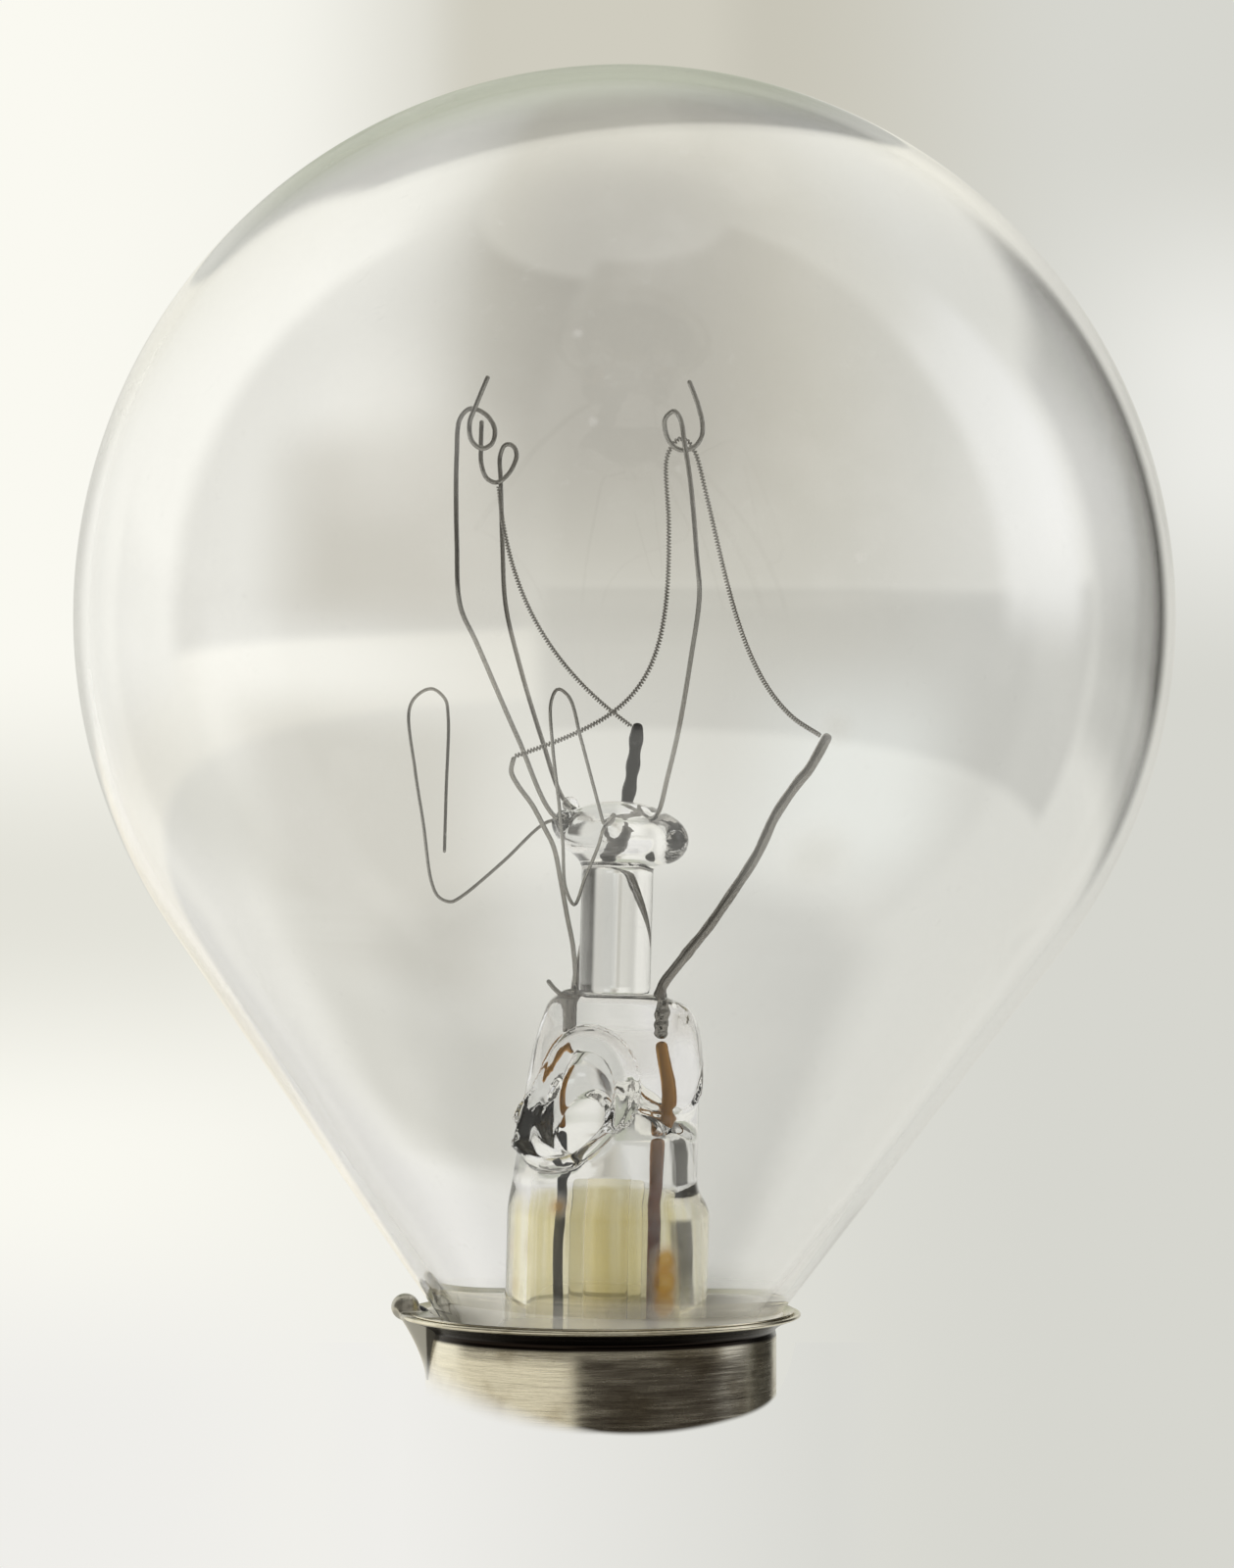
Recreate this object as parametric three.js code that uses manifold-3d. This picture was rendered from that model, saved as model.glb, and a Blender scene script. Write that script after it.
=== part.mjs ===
// Burnt-out clear round lamp with a small screw cap: a thin glass globe cemented slightly askew
// into a metal cap, and inside it a glass stem that carries leads, support wires and what is
// left of the filament. Millimetres, +Z up. The origin is on the cap's axis, on the flat of the
// solder drop at the foot of the cap. Seen from -Y, +X is to the right.
import * as THREE from 'three';
import { mergeVertices } from 'three/addons/utils/BufferGeometryUtils.js';
import Module from 'manifold-3d';

const wasm = await Module();
wasm.setup();

// Clearances
const GAP = 0.05; // between pieces that touch
const WIRE_GAP = 0.06; // between a wire and the glass, cement or solder around it

// Cap
const CAP_LENGTH = 25; // flat of the contact to the plane of the rim
const RIM_RADIUS = 8.2;
const RIM_LIP = 0.36; // height of the rolled lip
const RIM_FLARE = 1.05; // lip to the top of the skirt
const SKIRT_RADIUS = 7.2;
const SKIRT_HEIGHT = 6.6; // plain skirt below the flare
const SHELL_WALL = 0.3;
const THREAD_CREST_RADIUS = 6.945;
const THREAD_DEPTH = 0.8;
const THREAD_PITCH = 2.822;
const THREAD_TURNS = 3.9;
const SHOULDER_HEIGHT = 0.8; // skirt to thread
const SHELL_FOOT_HEIGHT = 1.3; // thread to the turned-in foot
const SHELL_MOUTH_RADIUS = 4.9; // opening at the foot, filled by the insulator
const INSULATOR_LIP = 1.9; // insulator above the shell's foot
const CONTACT_RADIUS = 2.4;
const CONTACT_THICKNESS = 0.6;
const SOLDER_DROP_HEIGHT = 0.45;
const SOLDER_DROP_RADIUS = 1.5;
const SOLDER_FLAT_RADIUS = 0.9; // worn flat by a lampholder's spring
const CEMENT_THICKNESS = 0.6; // between the glass neck and the skirt
const CEMENT_HEIGHT = 5;
const BEAD_RADIUS = 0.6; // side solder on the rim
const RUN_LENGTH = 2.6; // solder that ran down the skirt
const RUN_HALF_WIDTH = 0.75;
const RUN_OVER_RIM = 0.2; // solder that wraps the rim's edge

// Glass envelope
const GLOBE_RADIUS = 22.5;
const GLOBE_ABOVE_RIM = 28.75; // globe's centre above the rim, along the glass axis
const GLASS_WALL = 0.6;
const NECK_WALL = 0.8;
const NECK_DEPTH = 7; // neck's foot below the rim
const CONE_DEPTH = 0.8; // the cone ends this far below the rim
const TILT_DEG = 1.55; // lean of the glass towards +X in the cap

// Stem and rod, heights along the glass axis from the neck's foot
const STEM_RADIUS = 4.15;
const STEM_WALL = 0.85;
const PINCH_TOP = 20.4;
const PINCH_HALF_WIDTH = 3.3;
const PINCH_HALF_DEPTH = 1.9;
const PINCH_TOP_HALF_WIDTH = 2.25;
const PINCH_TOP_HALF_DEPTH = 1.6;
const PORT_BELOW_TOP = 4.3; // centre of the exhaust hole below the pinch's top
const PORT_HALF_WIDTH = 1.5;
const PORT_HALF_HEIGHT = 1.9;
const PORT_LIP = 0.42; // radius of the melted lip
const PORT_AZIMUTH_DEG = 238;
const EXHAUST_RADIUS = 1.5;
const EXHAUST_BORE_RADIUS = 0.9;
const EXHAUST_TIP_AIR = 3.9; // tube's melted tip above the insulator in the cap
const ROD_RADIUS = 1.47;
const ROD_LENGTH = 6.5; // pinch to the middle of the button
const BUTTON_RADIUS = 2.6;
const BUTTON_HALF_HEIGHT = 1.3;

// Wires
const INNER_LEAD_RADIUS = 0.18;
const SEAL_WIRE_RADIUS = 0.14;
const OUTER_LEAD_RADIUS = 0.15;
const SUPPORT_RADIUS = 0.1;
const HAIRPIN_RADIUS = 0.07;
const FILAMENT_RADIUS = 0.11;
const LEAD_AIR = 0.45; // between the exhaust tube and the leads beside it
const ROD_AIR = 0.12; // between the rod and the leads beside it
const SEAL_BELOW_TOP = 2; // end of the inner leads below the pinch's top
const SEAL_LENGTH = 3.4;
const END_AIR = 0.1; // between wires that meet end to end

// Mesh fineness
const GLOBE_SIDES = 32;
const CAP_SIDES = 24;
const STEM_SIDES = 24;
const THREAD_STEPS_PER_TURN = 5;
const WIRE_SIDES = 5;
const LEAD_SIDES = 6;
const LEAD_STEPS = 36;
const SEAL_STEPS = 8;
const OUTER_LEAD_STEPS = 48;
const SUPPORT_STEPS = 54;
const FILAMENT_STEPS = 70;

// Derived sizes
const TILT = THREE.MathUtils.degToRad(TILT_DEG);
const SKIRT_BORE_RADIUS = SKIRT_RADIUS - SHELL_WALL;
const NECK_RADIUS = SKIRT_BORE_RADIUS - CEMENT_THICKNESS;
const NECK_BORE_RADIUS = NECK_RADIUS - NECK_WALL;
const NECK_FOOT = CAP_LENGTH - NECK_DEPTH;
const SKIRT_TOP = CAP_LENGTH - RIM_LIP - RIM_FLARE;
const SKIRT_FOOT = SKIRT_TOP - SKIRT_HEIGHT;
const THREAD_TOP = SKIRT_FOOT - SHOULDER_HEIGHT;
const THREAD_FOOT = THREAD_TOP - THREAD_TURNS * THREAD_PITCH;
const THREAD_MEAN_RADIUS = THREAD_CREST_RADIUS - THREAD_DEPTH / 2;
const SHELL_FOOT = THREAD_FOOT - SHELL_FOOT_HEIGHT;
const CONTACT_TOP = SOLDER_DROP_HEIGHT + GAP + CONTACT_THICKNESS;
const INSULATOR_TOP = SHELL_FOOT + SHELL_WALL + INSULATOR_LIP;
const EXHAUST_TIP = INSULATOR_TOP + EXHAUST_TIP_AIR;
const BUTTON_HEIGHT = PINCH_TOP + ROD_LENGTH;
const LEAD_ORBIT = EXHAUST_RADIUS + LEAD_AIR + OUTER_LEAD_RADIUS;
const FOOT_ORBIT = ROD_RADIUS + ROD_AIR + INNER_LEAD_RADIUS;

const lampFrame = new THREE.Matrix4()
  .makeTranslation(0, 0, NECK_FOOT)
  .multiply(new THREE.Matrix4().makeRotationY(TILT));

// Geometry helpers

// Joins the vertices of a mesh and drops triangles that have shrunk to a line.
function welded(geometry) {
  const plain = geometry.clone();
  plain.deleteAttribute('normal');
  plain.deleteAttribute('uv');
  const merged = mergeVertices(plain, 1e-4);
  const kept = [];
  const index = merged.index.array;
  for (let i = 0; i < index.length; i += 3) {
    const [a, b, c] = index.slice(i, i + 3);
    if (a !== b && b !== c && c !== a) kept.push(a, b, c);
  }
  merged.setIndex(kept);
  return merged;
}

function solidOf(geometry) {
  const closed = welded(geometry);
  return new wasm.Manifold(new wasm.Mesh({
    numProp: 3,
    vertProperties: new Float32Array(closed.attributes.position.array),
    triVerts: new Uint32Array(closed.index.array),
  }));
}

function geometryOf(solid) {
  const mesh = solid.getMesh();
  const geometry = new THREE.BufferGeometry();
  geometry.setAttribute('position', new THREE.BufferAttribute(mesh.vertProperties, 3));
  geometry.setIndex(new THREE.BufferAttribute(mesh.triVerts, 1));
  return geometry;
}

// Takes every cutter away from a body.
function cut(body, cutters) {
  return geometryOf(cutters.reduce((rest, cutter) => rest.subtract(solidOf(cutter)), solidOf(body)));
}

// A closed mesh from rings of equal length: the rings joined in order, and each end either
// filled to its middle or, where the rings close on themselves, joined to the other end.
function skin(rings, closedOnItself = false) {
  const sides = rings[0].length;
  const points = rings.flat();
  const index = [];
  const bands = closedOnItself ? rings.length : rings.length - 1;
  for (let i = 0; i < bands; i += 1) {
    const low = i * sides;
    const high = ((i + 1) % rings.length) * sides;
    for (let j = 0; j < sides; j += 1) {
      const next = (j + 1) % sides;
      index.push(low + j, low + next, high + next, low + j, high + next, high + j);
    }
  }
  if (!closedOnItself) {
    const last = (rings.length - 1) * sides;
    for (let j = 1; j < sides - 1; j += 1) {
      index.push(0, j + 1, j);
      index.push(last, last + j, last + j + 1);
    }
  }
  const geometry = new THREE.BufferGeometry();
  geometry.setAttribute('position', new THREE.Float32BufferAttribute(points.flat(), 3));
  geometry.setIndex(index);
  return geometry;
}

// An oval ring at one height.
function ovalRing(height, halfWidth, halfDepth, shift, sides) {
  return Array.from({ length: sides }, (_, j) => {
    const turn = (2 * Math.PI * j) / sides;
    return [shift + halfWidth * Math.cos(turn), halfDepth * Math.sin(turn), height];
  });
}

// A body turned about Z from a profile of [radius, height] that runs from foot to top.
function turned(profile, sides) {
  const points = profile.map(([radius, height]) => new THREE.Vector2(radius, height));
  return welded(new THREE.LatheGeometry(points, sides).rotateX(Math.PI / 2));
}

// Points on an arc in the plane of radius and height.
function arc(centreRadius, centreHeight, radius, fromDeg, toDeg, steps) {
  return Array.from({ length: steps + 1 }, (_, i) => {
    const angle = THREE.MathUtils.degToRad(fromDeg + ((toDeg - fromDeg) * i) / steps);
    return [centreRadius + radius * Math.cos(angle), centreHeight + radius * Math.sin(angle)];
  });
}

// A round wire along a smooth curve through the points.
function wire(points, radius, steps, sides = WIRE_SIDES) {
  const section = new THREE.Shape(Array.from({ length: sides }, (_, i) => {
    const turn = (2 * Math.PI * i) / sides;
    return new THREE.Vector2(radius * Math.cos(turn), radius * Math.sin(turn));
  }));
  const path = new THREE.CatmullRomCurve3(points.map((p) => new THREE.Vector3(...p)), false, 'centripetal');
  return welded(new THREE.ExtrudeGeometry(section, { steps, extrudePath: path, bevelEnabled: false }));
}

// The room a wire needs in what it passes through: the wire with its gap all round and at each end.
function channel(points, radius, steps, sides = WIRE_SIDES) {
  const reach = radius + WIRE_GAP;
  const ball = (end) => solidOf(new THREE.SphereGeometry(reach, 6, 4).translate(...end));
  const sleeve = solidOf(wire(points, reach, steps, sides));
  return geometryOf(sleeve.add(ball(points[0])).add(ball(points.at(-1))));
}

// Points along a cubic curve from one anchor to another, each with a handle given from its anchor.
function leg(start, startHandle, end, endHandle, count) {
  const from = new THREE.Vector3(...start);
  const to = new THREE.Vector3(...end);
  const curve = new THREE.CubicBezierCurve3(
    from,
    from.clone().add(new THREE.Vector3(...startHandle)),
    to.clone().add(new THREE.Vector3(...endHandle)),
    to,
  );
  return curve.getPoints(count).map((point) => point.toArray());
}

const raised = (points, height) => points.map(([x, y, z]) => [x, y, z + height]);
const placed = ([x, y, z], matrix) => new THREE.Vector3(x, y, z).applyMatrix4(matrix).toArray();
const polar = (radius, degrees, z) => {
  const angle = THREE.MathUtils.degToRad(degrees);
  return [radius * Math.cos(angle), radius * Math.sin(angle), z];
};

// Routes of the wires

// Tall supports and hairpins, measured from the middle of the button.
const SUPPORT_LEFT_FRONT = [
  [-1.3, -0.4, 0.3], [-2.6, -1.3, 0.6], [-4.2, -2.6, 3.8], [-5.9, -4.1, 7.5], [-6.6, -4.6, 9.0],
  [-6.8, -4.7, 11.5], [-6.9, -4.7, 15.0], [-6.8, -4.7, 16.5], [-6.4, -4.75, 16.9], [-5.8, -4.8, 16.7],
  [-5.4, -4.9, 16.1], [-5.5, -4.95, 15.5], [-5.9, -5.0, 15.3], [-6.3, -5.1, 15.6], [-6.4, -5.15, 16.3],
  [-6.2, -5.2, 16.9], [-5.7, -5.3, 18.2],
];
const SUPPORT_LEFT_REAR = [
  [-1.2, 0.5, 0.5], [-2.3, 1.7, 1.3], [-3.3, 2.8, 3.8], [-4.4, 4.1, 7.1], [-5.0, 4.7, 9.4],
  [-5.2, 4.9, 11.9], [-5.35, 4.9, 14.7], [-5.4, 4.9, 15.6], [-5.2, 4.85, 16.1], [-4.9, 4.8, 16.1],
  [-4.7, 4.75, 15.7], [-5.0, 4.6, 14.9], [-5.5, 4.5, 14.5], [-5.9, 4.45, 14.65], [-6.15, 4.4, 15.2],
  [-6.2, 4.4, 16.1], [-6.2, 4.4, 17.1],
];
const SUPPORT_RIGHT = [
  [0.1, -0.6, 0.9], [0.8, -1.3, 0.7], [1.35, -2.0, 0.65], [1.6, -2.6, 0.95], [1.9, -3.6, 2.3],
  [2.3, -4.7, 4.3], [2.7, -5.8, 7.2], [2.95, -6.3, 9.6], [2.8, -6.4, 11.2], [2.5, -6.4, 13.9],
  [2.2, -6.4, 15.6], [2.0, -6.4, 16.6], [1.75, -6.4, 16.9], [1.4, -6.3, 16.6], [1.4, -6.2, 16.2],
  [1.6, -6.1, 15.7], [2.0, -6.0, 15.4], [2.55, -5.9, 15.5], [2.85, -5.85, 15.9], [2.9, -5.8, 16.4],
  [2.7, -5.8, 17.2], [2.3, -5.8, 18.2],
];
const HAIRPIN_LEFT = [
  [-1.3, -0.1, 0.4], [-2.7, -0.2, 0.45], [-3.2, -0.2, 0.2], [-4.7, -0.4, -1.3], [-6.4, -0.6, -2.8],
  [-6.8, -0.6, -3.0], [-7.3, -0.6, -2.8], [-7.6, -0.6, -2.2], [-8.0, -0.7, 0.2], [-8.4, -0.7, 2.4],
  [-8.7, -0.7, 4.8], [-8.4, -0.7, 5.4], [-7.8, -0.7, 5.7], [-7.25, -0.7, 5.3], [-7.1, -0.7, 4.6],
  [-7.1, -0.7, 1.5], [-7.1, -0.7, -1.0],
];
const HAIRPIN_FRONT = [
  [-0.2, -1.0, 0.3], [-0.6, -2.6, 0.2], [-0.8, -3.6, -0.5], [-1.3, -5.4, -1.8], [-1.7, -6.9, -2.8],
  [-2.05, -7.4, -2.1], [-2.2, -7.7, -0.3], [-2.4, -7.9, 1.3], [-2.7, -8.1, 3.5], [-2.8, -8.2, 5.2],
  [-2.55, -8.2, 5.7], [-2.1, -8.1, 5.4], [-1.6, -7.8, 3.8], [-1.1, -7.5, 2.1], [-0.6, -7.2, 0.4],
];

// Leads and the middle support, measured from the pinch's top. The leads start inside the pinch;
// the support's bent tail lies half in its top.
const RIGHT_FOOT_X = FOOT_ORBIT + 0.1;
const RIGHT_INNER_LEAD = [
  [RIGHT_FOOT_X, 0, -SEAL_BELOW_TOP], [RIGHT_FOOT_X, 0, -0.1], [RIGHT_FOOT_X + 0.1, 0, 0.4],
  [2.6, -0.1, 1.3], [3.6, -0.2, 2.5], [4.6, -0.3, 4.0], [5.7, -0.3, 5.8], [6.4, -0.4, 7.4],
  [7.3, -0.5, 8.8], [7.7, -0.5, 9.3], [8.5, -0.5, 10.8],
];
const REAR_INNER_LEAD = [
  polar(FOOT_ORBIT, 158, -SEAL_BELOW_TOP), polar(FOOT_ORBIT, 152, 0.3), polar(FOOT_ORBIT + 0.3, 130, 1.6),
  [-0.8, 3.0, 3.4], [-0.3, 4.5, 5.4], [0.1, 5.4, 6.7], [0.4, 5.9, 8.2], [0.55, 6.2, 9.4], [0.7, 6.5, 11.1],
];
const MIDDLE_SUPPORT = [
  [-2.75, -0.9, 0.55], [-2.45, -0.9, 0.2], [-2.05, -0.85, -0.1], polar(FOOT_ORBIT, 205, -0.22),
  polar(FOOT_ORBIT + 0.1, 212, 0.4), [-1.7, -1.6, 1.7], [-2.0, -2.3, 3.1], [-2.3, -3.0, 4.6],
  [-2.6, -3.7, 5.9], [-3.0, -4.3, 6.7], [-3.5, -4.9, 7.6], [-4.1, -5.4, 8.4], [-4.35, -5.7, 8.9],
  [-4.25, -5.9, 9.5],
];
const SEAL_TOP = -SEAL_BELOW_TOP - END_AIR;
const SEAL_FOOT = SEAL_TOP - SEAL_LENGTH;
const RIGHT_LEAD_DEG = -28;
const LEFT_LEAD_DEG = 208;
const RIGHT_SEAL_WIRE = [
  [RIGHT_FOOT_X, 0, SEAL_TOP], polar(LEAD_ORBIT, RIGHT_LEAD_DEG / 2, SEAL_TOP - SEAL_LENGTH / 2),
  polar(LEAD_ORBIT, RIGHT_LEAD_DEG, SEAL_FOOT),
];
const LEFT_SEAL_WIRE = [
  polar(FOOT_ORBIT, 158, SEAL_TOP), polar(LEAD_ORBIT, 185, SEAL_TOP - SEAL_LENGTH / 2),
  polar(LEAD_ORBIT, LEFT_LEAD_DEG - 8, SEAL_FOOT),
];

// The outer leads leave the stem's open foot. The right one ends in the contact's solder. The left
// one turns up between the neck and the skirt and ends in the side solder on the rim.
const LEAD_HEIGHTS = [8, 12.5, PINCH_TOP - 2];
const CEMENT_ORBIT = NECK_RADIUS + CEMENT_THICKNESS / 2;
const RIM_BEAD = [-(RIM_RADIUS - 0.35), 0, CAP_LENGTH + 0.35];

function inStem(degrees, belowTop) {
  return placed(polar(LEAD_ORBIT, degrees, PINCH_TOP - belowTop), lampFrame);
}

const RIGHT_OUTER_LEAD = [
  inStem(RIGHT_LEAD_DEG, -SEAL_FOOT + END_AIR),
  ...LEAD_HEIGHTS.map((below) => inStem(RIGHT_LEAD_DEG, below)),
  polar(LEAD_ORBIT, RIGHT_LEAD_DEG, EXHAUST_TIP),
  polar(LEAD_ORBIT / 2, RIGHT_LEAD_DEG, INSULATOR_TOP + EXHAUST_TIP_AIR / 2),
  [0, 0, INSULATOR_TOP],
  [0, 0, CONTACT_TOP],
  [0, 0, SOLDER_DROP_HEIGHT * 0.55],
];
const LEFT_OUTER_LEAD = [
  inStem(LEFT_LEAD_DEG - 8, -SEAL_FOOT + END_AIR),
  inStem(LEFT_LEAD_DEG, 9.2),
  inStem(LEFT_LEAD_DEG - 4, 10.2),
  inStem(LEFT_LEAD_DEG, 13.4),
  inStem(LEFT_LEAD_DEG, PINCH_TOP - 1.2),
  [-CEMENT_ORBIT * 0.55, -0.6, NECK_FOOT - 1.1],
  [-CEMENT_ORBIT * 0.85, -0.2, NECK_FOOT - 1],
  [-CEMENT_ORBIT, 0, NECK_FOOT + 0.2],
  [-CEMENT_ORBIT, 0, NECK_FOOT + 1.6],
  [-CEMENT_ORBIT, 0, SKIRT_TOP + 0.3],
  [-(CEMENT_ORBIT + 0.18), 0, CAP_LENGTH - 0.35],
  [-(CEMENT_ORBIT + 0.5), 0, CAP_LENGTH + 0.08],
  [-(CEMENT_ORBIT + 0.85), 0, CAP_LENGTH + 0.32],
  RIM_BEAD,
];

// Envelope: neck, cone tangent to the globe, globe, and the same again inside by the wall.
function envelopeProfile(shift, neckRadius) {
  const centre = NECK_DEPTH + GLOBE_ABOVE_RIM;
  const radius = GLOBE_RADIUS - shift;
  const coneFoot = NECK_DEPTH - CONE_DEPTH;
  const rise = centre - coneFoot;
  const reach = Math.hypot(rise, neckRadius);
  const tangentDeg = THREE.MathUtils.radToDeg(Math.acos(radius / reach) - Math.atan2(rise, neckRadius));
  const globe = arc(0, centre, radius, tangentDeg, 90, 16);
  globe[globe.length - 1][0] = 0;
  return [[neckRadius, 0], [neckRadius, coneFoot - 0.7], [neckRadius + 0.12, coneFoot + 0.1], ...globe];
}

function envelope() {
  const outer = envelopeProfile(0, NECK_RADIUS);
  const inner = envelopeProfile(GLASS_WALL, NECK_BORE_RADIUS);
  return turned([...outer, ...inner.reverse(), outer[0]], GLOBE_SIDES);
}

// Stem: a tube that flares to the neck below and is pressed flat above, with a blown hole.
function stem() {
  const lipRadius = NECK_BORE_RADIUS - 2 * GAP;
  const portHeight = PINCH_TOP - PORT_BELOW_TOP;
  const shoulder = portHeight - PORT_HALF_HEIGHT - 1.5;
  const ring = (z, a, b, shift = 0) => ovalRing(z, a, b, shift, STEM_SIDES);
  const outer = skin([
    ring(0.3, lipRadius, lipRadius),
    ring(0.9, lipRadius, lipRadius),
    ring(2, (lipRadius + STEM_RADIUS) / 2, (lipRadius + STEM_RADIUS) / 2),
    ring(4, STEM_RADIUS + 0.1, STEM_RADIUS + 0.1),
    ring(6, STEM_RADIUS, STEM_RADIUS),
    ring(shoulder - 2, STEM_RADIUS, STEM_RADIUS),
    ring(shoulder, STEM_RADIUS - 0.3, STEM_RADIUS - 0.3, -0.2),
    ring(portHeight, PINCH_HALF_WIDTH + 0.3, STEM_RADIUS - 0.9),
    ring(PINCH_TOP - 2.4, PINCH_HALF_WIDTH + 0.15, PINCH_HALF_DEPTH + 0.5, 0.15),
    ring(PINCH_TOP - 1.2, PINCH_HALF_WIDTH - 0.2, PINCH_HALF_DEPTH, 0.1),
    ring(PINCH_TOP - 0.35, (PINCH_HALF_WIDTH + PINCH_TOP_HALF_WIDTH) / 2 - 0.1, PINCH_TOP_HALF_DEPTH + 0.1),
    ring(PINCH_TOP, PINCH_TOP_HALF_WIDTH, PINCH_TOP_HALF_DEPTH, -0.1),
  ]);
  const bore = STEM_RADIUS - STEM_WALL;
  const cavity = skin([
    ring(0, lipRadius - STEM_WALL, lipRadius - STEM_WALL),
    ring(2, (lipRadius + STEM_RADIUS) / 2 - STEM_WALL, (lipRadius + STEM_RADIUS) / 2 - STEM_WALL),
    ring(4, bore, bore),
    ring(shoulder, bore - 0.3, bore - 0.3, -0.2),
    ring(portHeight - 1.4, bore - 0.7, bore - 0.9),
    ring(portHeight - 0.2, bore - 1.4, bore - 1.9),
    ring(portHeight + 0.6, bore - 2.5, bore - 2.8),
  ]);
  const portDirection = new THREE.Vector3(...polar(1, PORT_AZIMUTH_DEG, 0));
  const facing = new THREE.Quaternion().setFromUnitVectors(new THREE.Vector3(0, 0, 1), portDirection);
  const face = (geometry, distance) => geometry
    .applyQuaternion(facing)
    .translate(portDirection.x * distance, portDirection.y * distance, portHeight);
  const hole = new THREE.CylinderGeometry(1, 1, 2 * STEM_RADIUS, STEM_SIDES)
    .rotateX(Math.PI / 2)
    .scale(PORT_HALF_HEIGHT, PORT_HALF_WIDTH, 1);
  const lip = new THREE.TorusGeometry(1, PORT_LIP / PORT_HALF_WIDTH, 8, STEM_SIDES)
    .scale(PORT_HALF_HEIGHT + PORT_LIP, PORT_HALF_WIDTH + PORT_LIP, PORT_HALF_WIDTH);
  const exhaustRoom = EXHAUST_RADIUS + GAP;
  const lipped = solidOf(outer).add(solidOf(face(lip, PINCH_HALF_DEPTH + 0.9)));
  return cut(geometryOf(lipped), [
    cavity,
    face(hole, STEM_RADIUS + 0.7),
    turned([[0, 0], [exhaustRoom, 0], [exhaustRoom, exhaustTop() + GAP], [0, exhaustTop() + GAP]], 16),
    channel(raised(RIGHT_INNER_LEAD, PINCH_TOP), INNER_LEAD_RADIUS, LEAD_STEPS, LEAD_SIDES),
    channel(raised(REAR_INNER_LEAD, PINCH_TOP), INNER_LEAD_RADIUS, LEAD_STEPS, LEAD_SIDES),
    channel(raised(RIGHT_SEAL_WIRE, PINCH_TOP), SEAL_WIRE_RADIUS, SEAL_STEPS),
    channel(raised(LEFT_SEAL_WIRE, PINCH_TOP), SEAL_WIRE_RADIUS, SEAL_STEPS),
    channel(raised(MIDDLE_SUPPORT, PINCH_TOP), SUPPORT_RADIUS, LEAD_STEPS),
  ]);
}

// Exhaust tube: open to the blown hole above, melted shut at its foot inside the cap.
function exhaustTop() {
  return PINCH_TOP - PORT_BELOW_TOP - 0.5;
}

function exhaustTube() {
  const tip = EXHAUST_TIP - NECK_FOOT;
  const top = exhaustTop();
  return turned([
    [0, tip], ...arc(0, tip + EXHAUST_RADIUS, EXHAUST_RADIUS, -60, 0, 4),
    [EXHAUST_RADIUS, top], [EXHAUST_BORE_RADIUS, top],
    [EXHAUST_BORE_RADIUS, tip + 2 * EXHAUST_RADIUS], [0, tip + 1.5 * EXHAUST_RADIUS],
  ], 16);
}

// Rod with its end melted down to a button; the support wires are set in the button.
function arborRod() {
  const foot = PINCH_TOP + GAP;
  const low = BUTTON_HEIGHT - BUTTON_HALF_HEIGHT;
  const body = turned([
    [0, foot], [ROD_RADIUS, foot], [ROD_RADIUS, low - 0.35], [ROD_RADIUS + 0.25, low],
    ...[-38, -10, 18, 44, 66].map((deg) => {
      const angle = THREE.MathUtils.degToRad(deg);
      return [BUTTON_RADIUS * Math.cos(angle), BUTTON_HEIGHT + BUTTON_HALF_HEIGHT * Math.sin(angle)];
    }),
    [0, BUTTON_HEIGHT + BUTTON_HALF_HEIGHT],
  ], 20);
  const roomFor = (radius) => (route) => channel(raised(route, BUTTON_HEIGHT), radius, SUPPORT_STEPS);
  return cut(body, [
    ...[SUPPORT_LEFT_FRONT, SUPPORT_LEFT_REAR, SUPPORT_RIGHT].map(roomFor(SUPPORT_RADIUS)),
    ...[HAIRPIN_LEFT, HAIRPIN_FRONT].map(roomFor(HAIRPIN_RADIUS)),
  ]);
}

// Filament: two lengths are left. The right one runs from the right lead over the right pigtail to
// the middle support, the left one from the left rear pigtail to the rear lead.
function filamentRight() {
  const leadTip = RIGHT_INNER_LEAD.at(-1);
  const start = [leadTip[0] - 0.35, leadTip[1] - 0.3, leadTip[2] + PINCH_TOP - 0.1];
  const eye = [2.0, -5.75, BUTTON_HEIGHT + 15.85];
  const hookTip = MIDDLE_SUPPORT.at(-1);
  const end = [hookTip[0], hookTip[1] - 0.35, hookTip[2] + PINCH_TOP];
  const right = [eye[0] + 0.65, eye[1] + 0.15, eye[2] - 0.55];
  const left = [eye[0] - 0.5, eye[1] + 0.05, eye[2] - 0.85];
  return wire([
    ...leg(start, [-3.6, -2.2, 1.5], right, [1.4, 0, -4.4], 9),
    [eye[0] + 0.35, eye[1] + 0.15, eye[2] - 0.1],
    eye,
    [eye[0] - 0.3, eye[1], eye[2] - 0.3],
    ...leg(left, [0.7, 0.2, -9], end, [5.4, -0.2, 2], 11),
  ], FILAMENT_RADIUS, FILAMENT_STEPS);
}

function filamentLeft() {
  const loop = SUPPORT_LEFT_REAR[12];
  const start = [loop[0] + 0.1, loop[1] - 0.4, loop[2] - 0.2 + BUTTON_HEIGHT];
  const leadTip = REAR_INNER_LEAD.at(-1);
  const end = [leadTip[0] - 0.3, leadTip[1] - 0.25, leadTip[2] + PINCH_TOP - 0.15];
  return wire(leg(start, [0.4, 0.1, -3.8], end, [-4, -1.1, 2.7], 10), FILAMENT_RADIUS, FILAMENT_STEPS / 2);
}

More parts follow.
